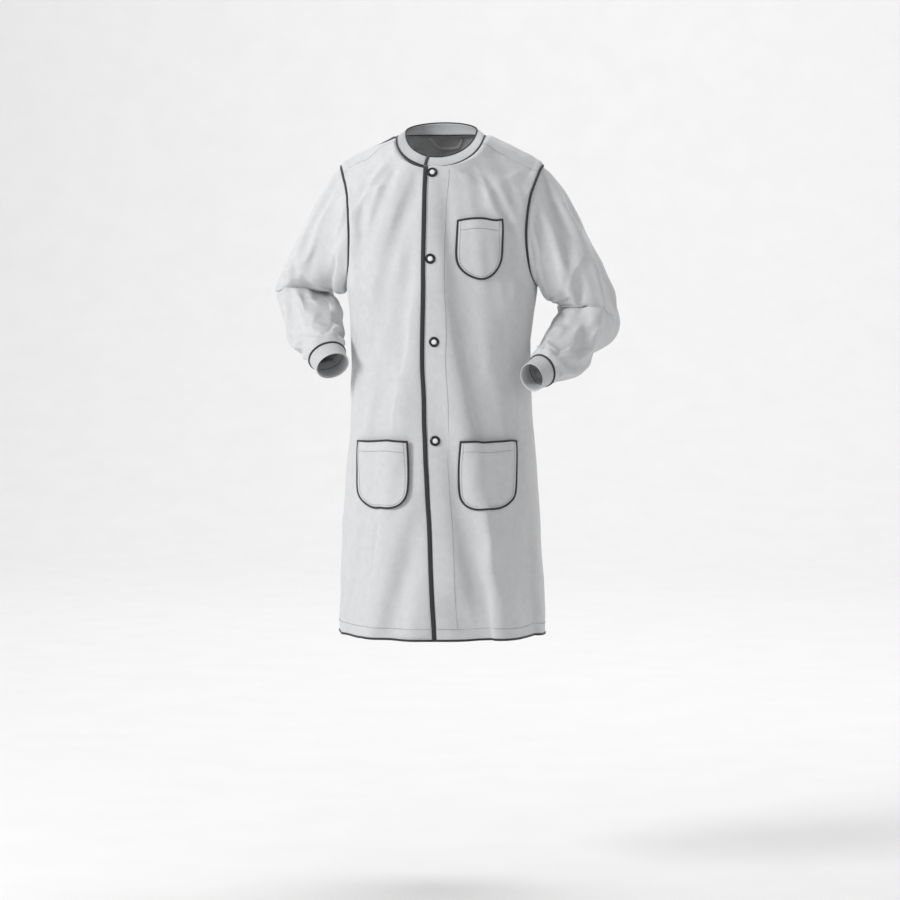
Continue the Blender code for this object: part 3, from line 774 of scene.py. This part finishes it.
def new_object(name, points, faces, uvs, material):
    """A mesh with one UV per face corner, given as a list of pairs in the order of the faces' corners."""
    mesh = bpy.data.meshes.new(name)
    mesh.from_pydata([tuple(p) for p in points], [], faces)
    layer = mesh.uv_layers.new(name="weave")
    layer.data.foreach_set("uv", np.array(uvs, float).ravel())
    mesh.shade_smooth()
    obj = bpy.data.objects.new(name, mesh)
    obj.data.materials.append(material)
    bpy.context.scene.collection.objects.link(obj)
    return obj


def mend(obj, merge=0.0, loose=False, outward=False):
    """Merge points nearer than merge, drop points without a face, and turn faces outward, as asked."""
    work = bmesh.new()
    work.from_mesh(obj.data)
    if merge:
        bmesh.ops.remove_doubles(work, verts=work.verts, dist=merge)
    if loose:
        bmesh.ops.delete(work, geom=[v for v in work.verts if not v.link_faces], context="VERTS")
    if outward:
        bmesh.ops.recalc_face_normals(work, faces=work.faces)
    work.to_mesh(obj.data)
    work.free()
    return obj


def thicken(obj, thickness, subdivide=1):
    """Round a sheet off except at its edges, and give it its thickness on the inside."""
    work = bmesh.new()
    work.from_mesh(obj.data)
    for edge in work.edges:
        edge.smooth = not edge.is_boundary
    work.to_mesh(obj.data)
    work.free()
    if subdivide:
        finer = obj.modifiers.new("finer", "SUBSURF")
        finer.levels = finer.render_levels = subdivide
        finer.boundary_smooth = "PRESERVE_CORNERS"
    solid = obj.modifiers.new("thickness", "SOLIDIFY")
    solid.thickness = thickness
    solid.offset = -1
    solid.use_even_offset = False


def grid_lengths(grid):
    """Lengths along the rows and up the columns of a grid of points, for threads that follow the cloth."""
    g = np.array(grid)
    steps_across = np.linalg.norm(np.diff(g, axis=1), axis=2)
    steps_up = np.linalg.norm(np.diff(g, axis=0), axis=2)
    across = np.concatenate([np.zeros((len(g), 1)), np.cumsum(steps_across, axis=1)], 1)
    up = np.concatenate([np.zeros((1, g.shape[1])), np.cumsum(steps_up, axis=0)], 0)
    return across, np.broadcast_to(up.mean(axis=1)[:, None], up.shape)


def grid_object(name, grid, material, flip=False, keep=None):
    """A sheet through a grid of points."""
    g = np.array(grid)
    height, width = g.shape[:2]
    across, up = grid_lengths(g)
    faces, uvs = [], []
    for r in range(height - 1):
        for c in range(width - 1):
            if keep is not None and not keep(r, c):
                continue
            corners = [(r, c), (r, c + 1), (r + 1, c + 1), (r + 1, c)]
            if flip:
                corners.reverse()
            faces.append([a * width + b for a, b in corners])
            uvs += [(across[a, b], up[a, b]) for a, b in corners]
    return mend(new_object(name, g.reshape(-1, 3), faces, uvs, material), merge=1e-6, loose=True)


def skin_grid(name):
    return SKIN[np.array(SHELL.grids[name])]


def sweep(name, path, sides, across, thick, material, closed=False, points=10):
    """A flat cord, an oval of width across and depth thick, swept along a path whose normals are sides."""
    path, sides = np.array(path, float), np.array(sides, float)
    count = len(path)
    if closed:
        ahead = np.roll(path, -1, 0) - np.roll(path, 1, 0)
    else:
        ahead = np.gradient(path, axis=0)
    ahead /= np.maximum(np.linalg.norm(ahead, axis=1), 1e-9)[:, None]
    beside = np.cross(ahead, sides)
    beside /= np.maximum(np.linalg.norm(beside, axis=1), 1e-9)[:, None]
    up = np.cross(beside, ahead)
    run = np.concatenate([[0], np.cumsum(np.linalg.norm(np.diff(path, axis=0), axis=1))])
    verts = []
    for k in range(points):
        turn = 2 * math.pi * k / points
        c, s = math.cos(turn), math.sin(turn)
        wide = math.copysign(abs(c) ** 0.75, c) * across / 2
        deep = math.copysign(abs(s) ** 0.75, s) * thick / 2
        verts.append(path + beside * wide + up * deep)
    verts = np.stack(verts, 1).reshape(-1, 3)
    faces, uvs = [], []
    around = math.pi * (across + thick) / 2
    for i in range(count if closed else count - 1):
        j = (i + 1) % count
        for k in range(points):
            m = (k + 1) % points
            faces.append([i * points + k, j * points + k, j * points + m, i * points + m])
            u0, u1 = k / points * around, (k + 1) / points * around
            end = run[j] if j > i else run[i] + np.linalg.norm(path[0] - path[-1])
            uvs += [(u0, run[i]), (u0, end), (u1, end), (u1, run[i])]
    if not closed:
        for start, order in ((0, 1), (count - 1, -1)):
            ends = [start * points + k for k in range(points)][::order]
            faces.append(ends)
            uvs += [(0.0, 0.0)] * points
    return new_object(name, verts, faces, uvs, material)


def stitched(name, path, normals, material, pitch=0.0036, length=0.0026, width=0.00075):
    """A row of lockstitches along a path that lies on cloth."""
    path, normals = np.array(path, float), np.array(normals, float)
    run = np.concatenate([[0], np.cumsum(np.linalg.norm(np.diff(path, axis=0), axis=1))])
    verts, faces, uvs = [], [], []
    for k in range(int(run[-1] / pitch)):
        ends = []
        for s in (k * pitch, k * pitch + length * 0.3, k * pitch + length * 0.7, k * pitch + length):
            p = np.array([np.interp(s, run, path[:, i]) for i in range(3)])
            n = np.array([np.interp(s, run, normals[:, i]) for i in range(3)])
            ends.append((p, n / np.linalg.norm(n)))
        ahead = ends[-1][0] - ends[0][0]
        ahead /= max(np.linalg.norm(ahead), 1e-9)
        base = len(verts)
        tip, middle = (0.35, -0.0002), (1.0, 0.00022)  # a stitch's width and height there, and at its ends
        for (p, n), (size, lift) in zip(ends, (tip, middle, middle, tip)):
            beside = np.cross(ahead, n)
            for c, s in ((1, 0), (0, 1), (-1, 0), (0, -1)):
                verts.append(p + n * lift + (beside * c + n * s * 0.8) * width / 2 * size)
        for i in range(3):
            for j in range(4):
                m = (j + 1) % 4
                faces.append([base + 4 * i + j, base + 4 * i + m, base + 4 * i + 4 + m, base + 4 * i + 4 + j])
                uvs += [(0, 0), (width, 0), (width, length), (0, length)]
        faces.append([base + 3, base + 2, base + 1, base])
        faces.append([base + 12, base + 13, base + 14, base + 15])
        uvs += [(0.0, 0.0)] * 8
    return new_object(name, verts, faces, uvs, material)


def surface_path(points, lift):
    """A path on the resting skin, given as points on it, carried to the creased skin and lifted off it."""
    moved, normals = follow(points)
    return moved + normals * lift, normals


def front_xz(x, z, lift=0.0):
    return Vector((x, front_y(x, z) - lift, z))


# ---- Panels


def under_lap():
    """The right front where it runs under the left one, as a grid that ends at its own free edge."""
    rows = [i for i, r in enumerate(ROWS) if r <= EDGE_TOP_ROW]
    grid = []
    for i in rows:
        row = []
        for share in spaced(0, 1, 8)[1:]:
            edge_x, z_end = seam_centre(ROWS[i], LEFT_EDGE, front_neckline)
            x = mix(edge_x, RIGHT_LAP, share)
            z = min(z_end, shoulder_z(x) - 0.012)
            dip = 0.012 * share * smooth((ROWS[i] - 1.3) / 0.32)
            row.append(front_xz(x, z - dip * 0.35))
        grid.append(follow(row))
    return rows, grid


def make_right_front():
    rows, lap = under_lap()
    main = skin_grid("right_front")
    normals = SKIN_NORMALS[np.array(SHELL.grids["right_front"])]
    sink = np.array([smooth((s - 0.72) / 0.24) for s in SHARES]) * UNDER_DEPTH
    main = main - normals * sink[None, :, None]
    lapped = [p - n * UNDER_DEPTH for p, n in lap]
    width = main.shape[1] + 8
    grid = np.zeros((len(ROWS), width, 3))
    grid[:, : main.shape[1]] = main
    for i, row in zip(rows, lapped):
        grid[i, main.shape[1]:] = row
    last = rows[-1]

    def keep(r, c):
        return c < main.shape[1] - 1 or r < last

    for i in range(last + 1, len(ROWS)):
        grid[i, main.shape[1]:] = grid[i, main.shape[1] - 1]
    return grid_object("right_front", grid, TWILL, keep=keep)


def make_panels():
    left = grid_object("left_front", skin_grid("left_front"), TWILL, flip=True)
    for side, front in (("left", left), ("right", make_right_front())):
        thicken(front, CLOTH)
        attach(front, side)
        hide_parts(side + "_front_panel", side + "_front_side")
    numbers = np.array([a + b[::-1] for a, b in zip(SHELL.grids["back_left"], SHELL.grids["back_right"])])
    back = grid_object("back", SKIN[numbers], TWILL, keep=lambda r, c: c != COLUMNS)
    thicken(back, CLOTH)
    attach(back)
    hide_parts("back_panel")


def bend_by_station(obj, grid_name):
    """Look up, for each point of the piece, the nearest ring of the sleeve's skin; the ring numbers are not kept.
    """
    rings = skin_grid(grid_name)
    tree = KDTree(rings.shape[0] * rings.shape[1])
    for r, ring in enumerate(rings):
        for p in ring:
            tree.insert(p, r)
    tree.balance()
    for v in obj.data.vertices:
        number = tree.find(v.co)[1]


def make_sleeves():
    for side in ("left", "right"):
        flip = side == "right"
        upper = grid_object(side + "_sleeve_top", skin_grid(side + "_upper_sleeve"), TWILL, flip=flip)
        lower = grid_object(side + "_sleeve", skin_grid(side + "_lower_sleeve"), TWILL, flip=flip)
        for piece in (upper, lower):
            thicken(piece, CLOTH)
        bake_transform(upper)
        bend_by_station(upper, side + "_upper_sleeve")
        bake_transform(lower)
        bend_by_station(lower, side + "_lower_sleeve")
        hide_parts(side + "_upper_sleeve")
        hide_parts(side + "_lower_sleeve")


# ---- Neckband and cuffs


def ribbed(name, ring, inward, ribs, steps, depth, closed=True):
    """A doubled rib knit: ring(share_round, share_up) is its outer skin, inward(share_round) points in."""
    verts, faces, uvs = [], [], []
    columns = ribs * 4
    ups = [i / steps for i in range(steps + 1)]
    profile = [(u, 0.0) for u in ups] + [(u, 1.0) for u in reversed(ups)]
    count = columns if closed else columns + 1
    for c in range(count):
        share = c / columns
        rib = 0.5 + 0.5 * math.cos(2 * math.pi * c / 4 + 0.4)
        rib = rib**0.7
        for up, inner in profile:
            p = ring(share, up)
            out = -inward(share)
            edge = min(1.0, min(up, 1 - up) / 0.08)
            height = RIB_HEIGHT * rib * (0.4 + 0.6 * edge)
            if inner:
                verts.append(p - out * (depth * (0.25 + 0.75 * edge**0.5) + height * 0.6))
            else:
                verts.append(p + out * (height - depth * 0.12 * (1 - edge)))
    around = len(profile)
    for c in range(columns):
        d = (c + 1) % count
        for k in range(around):
            m = (k + 1) % around
            faces.append([c * around + k, c * around + m, d * around + m, d * around + k])
            u0, u1 = c * RIB_QUARTER, (c + 1) * RIB_QUARTER
            v0, v1 = profile[k][0] * 0.025, profile[m][0] * 0.025
            uvs += [(u0, v0), (u0, v1), (u1, v1), (u1, v0)]
    if not closed:
        faces.append([k for k in range(around)][::-1])
        faces.append([(count - 1) * around + k for k in range(around)])
        uvs += [(0.0, 0.0)] * (2 * around)
    return mend(new_object(name, verts, faces, uvs, RIB), outward=True)


def band_out(angle):
    return Vector((math.cos(angle), -math.sin(angle), 0.35)).normalized()


def make_neckband():
    left_end = neck_angle(EDGE_TOP_ROW, LEFT_EDGE)
    right_end = math.pi - math.acos(RIGHT_LAP / SHOULDER_NECK[0] * -1)
    split = math.radians(4)
    sections = (
        ("neckband_left", split, left_end, 0.0, "left", "neckband_left_front"),
        ("neckband_right", math.pi - split, right_end, 0.0034, "right", "neckband_right_front"),
        ("neckband_back", split, -math.pi - split, 0.0, None, "neckband_back"),
    )
    for name, first, last, sink, side, node in sections:
        turn = abs(last - first)
        ribs = max(8, int(turn * 0.082 / 0.0030))

        def lowered(angle):
            lap = smooth((math.sin(angle) - 0.86) / 0.10) if sink else 0.0
            return sink * lap

        def ring(share, up):
            angle = mix(first, last, share)
            return band_point(angle, up) - band_out(angle) * lowered(angle)

        def inward(share):
            return -band_out(mix(first, last, share))

        obj = ribbed(name, ring, inward, ribs, 14, KNIT, closed=False)
        attach(obj, side)
        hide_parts(node)
        if name == "neckband_left":
            ups = spaced(0.0, 1.0, 16)
            path = [band_point(last, up) + band_out(last) * 0.0004 for up in ups]
            end = sweep("neckband_end_binding", path, [band_out(last)] * len(path), 0.0070, 0.0036, BINDING)
            attach(end, side)
        for edge, up in (("top", 0.985), ("seam", 0.015)):
            steps = max(24, int(turn * 40))
            angles = spaced(first, last, steps)
            path = [band_point(a, up) + band_out(a) * (0.0003 - lowered(a)) for a in angles]
            size = 0.0040 if edge == "seam" else 0.0036
            cord = sweep(f"{name}_{edge}_piping", path, [band_out(a) for a in angles], size, 0.0034, BINDING)
            attach(cord, side)


def make_cuffs():
    for side in ("left", "right"):
        centre, across, normal = sleeve_frame(side, CUFF_STATION)
        forward = (centre - sleeve_frame(side, CUFF_STATION - 0.2)[0]).normalized()
        depth = SLEEVE_DEPTH[-1]

        def ring(share, up):
            turn = 2 * math.pi * share
            size = mix(0.985, 0.90, smooth(up)) - 0.02 * math.sin(math.pi * up)
            out = across * math.cos(turn) + normal * depth * math.sin(turn)
            return centre + out * size + forward * mix(-0.0005, CUFF_LENGTH, up)

        def inward(share):
            turn = 2 * math.pi * share
            return -(across * math.cos(turn) + normal * depth * math.sin(turn)).normalized()

        cuff = ribbed(side + "_cuff_knit", ring, inward, 68, 16, KNIT)
        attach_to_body(cuff, side + "_forearm")
        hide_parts(side + "_cuff")
        turns = spaced(0, 1, 72)[:-1]
        path = [ring(t, 0.0) - inward(t) * 0.0009 for t in turns]
        outward = [-inward(t) for t in turns]
        seam = sweep(side + "_cuff_piping", path, outward, 0.0046, 0.0036, BINDING, closed=True)
        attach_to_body(seam, side + "_forearm")


# ---- Bindings and stitching


def make_placket_trim():
    """The dark binding down the left front's free edge, and two rows of stitching beside it."""
    g = skin_grid("left_front")
    n = SKIN_NORMALS[np.array(SHELL.grids["left_front"])]
    top = ROWS.index(EDGE_TOP_ROW)
    path = [mix(g[i, -1], g[i, -2], 0.16) for i in range(top + 1)]
    normals = [n[i, -1] for i in range(top + 1)]
    path = np.array(path) + np.array(normals) * 0.0001
    binding = sweep("placket_binding", path, normals, 0.0094, 0.0030, BINDING)
    attach(binding, "left")
    heights = spaced(-0.078, HEM_Z + 0.022, 190)
    for name, offset in (("placket_stitching_outer", 0.0085), ("placket_stitching_inner", 0.047)):
        line = [front_xz(along(LEFT_EDGE, z) + offset, z) for z in heights]
        path, normals = surface_path(line, 0.0001)
        attach(stitched(name, path, normals, DARK_THREAD), "left")


def hem_line(grid_name, row_lift):
    """Points of the creased skin a little above the hem, and their normals."""
    low, high = skin_grid(grid_name)[0], skin_grid(grid_name)[1]
    span = np.linalg.norm(high - low, axis=1)
    numbers = np.array(SHELL.grids[grid_name])
    at = row_lift / span.mean()
    i = int(at)
    rows = skin_grid(grid_name)
    path = rows[i] + (rows[i + 1] - rows[i]) * (at - i)
    return path, SKIN_NORMALS[numbers[i]]


def make_hem_trim():
    parts = (("left_front", "left"), ("right_front", "right"), ("back_left", None), ("back_right", None))
    for name, side in parts:
        for what, lift in (("binding", 0.0012), ("stitching", 0.024)):
            path, normals = hem_line(name, lift)
            if what == "binding":
                obj = sweep(f"hem_binding_{name}", path, normals, 0.0046, 0.0030, BINDING)
            else:
                obj = stitched(f"hem_stitching_{name}", path + normals * 0.0001, normals, DARK_THREAD)
            attach(obj, side)


def make_armhole_trim():
    first = ROWS.index(1)
    for side in ("left", "right"):
        front = [row[0] for row in SHELL.grids[side + "_front"][first:]]
        rear = [row[0] for row in SHELL.grids["back_" + side][first:]]
        numbers = front[::-1] + rear[1:-1]
        path, normals = SKIN[numbers], SKIN_NORMALS[numbers]
        path = path + normals * 0.0006
        cord = sweep(side + "_armhole_piping", path, normals, 0.0056, 0.0042, BINDING, closed=True)
        attach(cord)


def make_shoulder_stitching():
    for side in ("left", "right"):
        numbers = SHELL.grids[side + "_front"][-4]
        path, normals = SKIN[numbers], SKIN_NORMALS[numbers]
        attach(stitched(side + "_shoulder_stitching", path, normals, DARK_THREAD))


# ---- Pockets


def pocket_outline(pocket, inset, steps=14):
    """The pocket's edge in x and z, inset: from its mouth's near corner down, round the foot and up."""
    (near, far), (top, foot) = pocket["x"], pocket["z"]
    near, far, foot = near + inset, far - inset, foot + inset
    r = max(0.004, pocket["corner"] - inset)
    points = [(near, z) for z in spaced(top, foot + r, steps)]
    turns = spaced(0, math.pi / 2, steps)[1:]
    points += [(near + r - r * math.cos(a), foot + r - r * math.sin(a)) for a in turns]
    points += [(x, foot) for x in spaced(near + r, far - r, max(2, int((far - near - 2 * r) / 0.004)))[1:]]
    points += [(far - r + r * math.sin(a), foot + r - r * math.cos(a)) for a in turns]
    points += [(far, z) for z in spaced(foot + r, top, steps)[1:]]
    return points


def gape_at(pocket, x, z):
    (near, far), (top, foot) = pocket["x"], pocket["z"]
    share = (x - (near + far) / 2) / ((far - near) / 2)
    low = min(1.0, max(0.0, (top - z) / (top - foot)))
    return pocket["gape"] * (1 - min(1.0, abs(share)) ** 3) * (1 - low) ** 1.3


def pocket_point(pocket, x, z, lift, sign):
    y = front_y(x, z)
    step = 1e-3
    normal = Vector((2 * step, front_y(x + step, z) - front_y(x - step, z), 0)).cross(
        Vector((0, front_y(x, z + step) - front_y(x, z - step), 2 * step))
    ).normalized()
    p = Vector((x, y, z)) + normal * (lift + gape_at(pocket, x, z))
    return Vector((p.x * sign, p.y, p.z))


def make_pocket(name, pocket, side, node):
    sign = 1 if side == "left" else -1
    (near, far), (top, foot) = pocket["x"], pocket["z"]
    outline = pocket_outline(pocket, 0.0)
    rows = []
    heights = [mix(top, foot, t) for t in [1 - (1 - s) ** 1.6 for s in spaced(0, 1, 34)]]
    for z in heights:
        r = pocket["corner"]
        into = max(0.0, foot + r - z)
        half = (far - near) / 2 - r + math.sqrt(max(0.0, r * r - into * into))
        centre = (near + far) / 2
        across = [centre + half * s for s in spaced(-1, 1, 30)]
        rows.append([pocket_point(pocket, x, z, POCKET_LIFT, sign) for x in across])
    flat = [p for row in rows for p in row]
    moved, _ = follow(flat)
    grid = moved.reshape(len(rows), 31, 3)
    obj = grid_object(name, grid, TWILL, flip=side == "left")
    thicken(obj, 0.0011, subdivide=0)
    attach(obj, side)
    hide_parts(node)

    def edge_path(points, lift):
        path, normals = follow([pocket_point(pocket, x, z, lift, sign) for x, z in points])
        for _ in range(10):
            path[1:-1] = path[1:-1] / 2 + (path[:-2] + path[2:]) / 4
        return path, normals

    path, normals = edge_path(outline, 0.0019)
    trim = sweep(name + "_binding", path, normals, 0.0044, 0.0030, BINDING)
    mouth = [(x, top - 0.0016) for x in spaced(near - 0.0012, far + 0.0012, 60)]
    path, normals = edge_path(mouth, 0.0013)
    lip = sweep(name + "_mouth_binding", path, normals, 0.0046, 0.0040, BINDING)
    path, normals = edge_path(pocket_outline(pocket, 0.0060, 24), 0.0021)
    seam = stitched(name + "_stitching", path, normals, DARK_THREAD)
    path, normals = edge_path([(x, top - 0.022) for x in spaced(near + 0.006, far - 0.006, 60)], 0.0021)
    hem = stitched(name + "_hem_stitching", path, normals, DARK_THREAD)
    for piece in (trim, lip, seam, hem):
        attach(piece, side)


# ---- Facings, snaps, label and loop


def make_facings():
    top = ROWS.index(EDGE_TOP_ROW)
    for side, flip in (("left", False), ("right", True)):
        sign = 1 if side == "left" else -1
        grid = []
        for i in range(0, top + 1):
            z = seam_centre(ROWS[i], LEFT_EDGE, front_neckline)[1]
            start = along(LEFT_EDGE, z) + 0.001 if side == "left" else RIGHT_LAP - 0.001
            z = z - 0.002 if i == top else z
            reach = FACING_WIDTH * sign
            line = []
            for share in spaced(0, 1, 8):
                x = start + reach * share
                dip = 0.020 * share * smooth((ROWS[i] - 1.25) / 0.37)
                line.append(front_xz(x, z - dip))
            moved, normals = follow(line)
            under = 0.0014 if side == "left" else UNDER_DEPTH + 0.0014
            grid.append(moved - normals * under)
        obj = grid_object(side + "_facing", grid, TWILL, flip=flip)
        thicken(obj, 0.0008)
        attach(obj, side)
        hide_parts(side + "_front_facing")


def turned(name, profile, material, steps=40):
    verts, faces, uvs = [], [], []
    for k in range(steps):
        turn = 2 * math.pi * k / steps
        for r, h in profile:
            verts.append((r * math.cos(turn), r * math.sin(turn), h))
    count = len(profile)
    for k in range(steps):
        m = (k + 1) % steps
        for i in range(count - 1):
            faces.append([k * count + i, k * count + i + 1, m * count + i + 1, m * count + i])
            uvs += [(0, 0), (0, 0.001), (0.001, 0.001), (0.001, 0)]
    return mend(new_object(name, verts, faces, uvs, material), merge=1e-7, outward=True)


def arc(r0, h0, r1, h1, bulge, steps=6):
    """Profile points from one radius and height to another, bulging outwards."""
    points = []
    for t in spaced(0, 1, steps):
        lift = bulge * math.sin(math.pi * t)
        points.append((mix(r0, r1, t), mix(h0, h1, t) + lift))
    return points


def make_snaps():
    for number, (x, z) in enumerate(SNAPS, 1):
        at, normal = follow([front_xz(x, z)])
        turn = Vector(normal[0]).to_track_quat("Z", "Y").to_matrix().to_4x4()
        place = Matrix.Translation(Vector(at[0])) @ turn
        under = -UNDER_DEPTH
        cap = [(0.0, 0.0016)] + arc(0.0050, 0.0016, 0.0056, 0.0020, 0.0)
        cap += arc(0.0060, 0.0026, 0.0100, 0.0016, 0.0012, 10)
        cap += [(0.0104, 0.0009), (0.0106, 0.0001), (0.0100, -0.0002)]
        cap += [(0.0016, -0.0002), (0.0016, -0.0032), (0, -0.0032)]
        enamel = [(0.0, 0.0026)] + arc(0.0008, 0.0026, 0.0050, 0.0022, 0.0002, 6)
        enamel += [(0.0054, 0.0016), (0.0, 0.0012)]
        socket = [(0.0022, -0.0026), (0.0066, -0.0026), (0.0071, -0.0031), (0.0066, -0.0038)]
        socket += [(0.0052, -0.0043), (0.0036, -0.0043), (0.0034, -0.0034), (0.0022, -0.0034), (0.0022, -0.0026)]
        stud = [(0, under + 0.0022), (0.0018, under + 0.0020), (0.0024, under + 0.0014)]
        stud += [(0.0024, under + 0.0006), (0.0062, under + 0.0005), (0.0068, under + 0.0001), (0, under)]
        post = [(0, under - 0.0026), (0.0060, under - 0.0026), (0.0066, under - 0.0030)]
        post += [(0.0060, under - 0.0036), (0.0026, under - 0.0037), (0.0022, under - 0.0034), (0, under - 0.0034)]
        pieces = (
            ("cap", cap, METAL, "left_front", "snap_cap"),
            ("enamel", enamel, ENAMEL, "left_front", None),
            ("socket", socket, METAL, "left_front", "snap_socket"),
            ("stud", stud, METAL, "right_front", "snap_stud"),
            ("post", post, METAL, "right_front", "snap_post"),
        )
        for name, profile, material, body, node in pieces:
            obj = turned(f"{name}_{number}", profile, material)
            obj.data.transform(place)
            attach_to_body(obj, body)
            if node:
                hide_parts(f"{node}_{number}")


def inside_back(x, drop, lift):
    z = back_neckline(math.pi / 2)[1] - drop
    return Vector((x, back_y(x, z) - lift, z))


def make_back_neck():
    """The hanger loop and the blank size label inside the back neck."""
    path = []
    for share in spaced(-1, 1, 48):
        sag = 0.022 * (1 - share**4)
        path.append(inside_back(0.034 * share, 0.010 + sag, 0.0030 + 0.0045 * (1 - share**2)))
    path, normals = follow(path)
    loop = sweep("hanger_loop_tape", path, normals, 0.0056, 0.0012, TAPE)
    attach(loop)
    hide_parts("hanger_loop")
    drops = spaced(0.042, 0.078, 10)
    grid = [[inside_back(x, drop, 0.0030) for x in spaced(-0.024, 0.024, 14)] for drop in drops]
    grid = follow([p for row in grid for p in row])[0].reshape(len(grid), -1, 3)
    label = grid_object("label", grid, TAPE)
    thicken(label, 0.0005, subdivide=0)
    attach(label)
    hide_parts("size_label")


# ---- Room, light and camera


def area_light(name, place, aim, size, power):
    data = bpy.data.lights.new(name, "AREA")
    data.shape = "SQUARE"
    data.size = size
    data.energy = power
    lamp = bpy.data.objects.new(name, data)
    lamp.location = place
    lamp.rotation_euler = (Vector(aim) - Vector(place)).to_track_quat("-Z", "Y").to_euler()
    bpy.context.scene.collection.objects.link(lamp)


def make_room():
    mesh = bpy.data.meshes.new("floor")
    deep, high, wide, bend = 11.0, 12.0, 18.0, 4.5
    z0 = -1.55
    profile = [(-12.0, z0), (deep - bend - 0.05, z0)]
    arc_angles = spaced(0, math.pi / 2, 48)
    profile += [(deep - bend + bend * math.sin(a), z0 + bend - bend * math.cos(a)) for a in arc_angles]
    profile += [(deep, z0 + bend + 0.05), (deep, high)]
    verts = [(x, y, z) for x in (-wide, wide) for y, z in profile]
    count = len(profile)
    faces = [(i, i + 1, count + i + 1, count + i) for i in range(count - 1)]
    mesh.from_pydata(verts, [], faces)
    mesh.shade_smooth()
    floor = bpy.data.objects.new("floor", mesh)
    floor.data.materials.append(floor_material())
    bpy.context.scene.collection.objects.link(floor)
    area_light("key", (-3.1, -2.2, 1.3), (0, 0, -0.5), 1.2, 112)
    area_light("fill", (3.4, -3.0, 0.0), (0, 0, -0.6), 2.4, 14)
    area_light("rim", (2.4, 2.2, 1.5), (0, 0, -0.4), 1.4, 18)
    area_light("wall", (0, 3.5, 7.0), (0, 10.0, 0.0), 6.0, 560)
    world = bpy.data.worlds.new("world")
    world.use_nodes = True
    world.node_tree.nodes["Background"].inputs[0].default_value = (1, 1, 1, 1)
    world.node_tree.nodes["Background"].inputs[1].default_value = 0.44
    bpy.context.scene.world = world
    bpy.context.scene.view_settings.view_transform = "Standard"


def make_camera():
    data = bpy.data.cameras.new("camera")
    distance, turn, height = 6.5, math.radians(6.3), -0.28
    aim = Vector((0.0177, 0.0, -0.655))
    place = Vector((distance * math.sin(turn), -distance * math.cos(turn), height))
    data.lens = 36 * (aim - place).length / VIEW_WIDTH
    camera = bpy.data.objects.new("camera", data)
    camera.location = place
    camera.rotation_euler = (aim - place).to_track_quat("-Z", "Y").to_euler()
    bpy.context.scene.collection.objects.link(camera)
    bpy.context.scene.camera = camera


make_panels()
make_sleeves()
make_neckband()
make_cuffs()
make_placket_trim()
make_hem_trim()
make_armhole_trim()
make_shoulder_stitching()
make_pocket("chest_pocket_patch", CHEST_POCKET, "left", "chest_pocket")
make_pocket("left_hip_patch", HIP_POCKET, "left", "left_hip_pocket")
make_pocket("right_hip_patch", HIP_POCKET, "right", "right_hip_pocket")
make_facings()
make_snaps()
make_back_neck()
make_room()
make_camera()
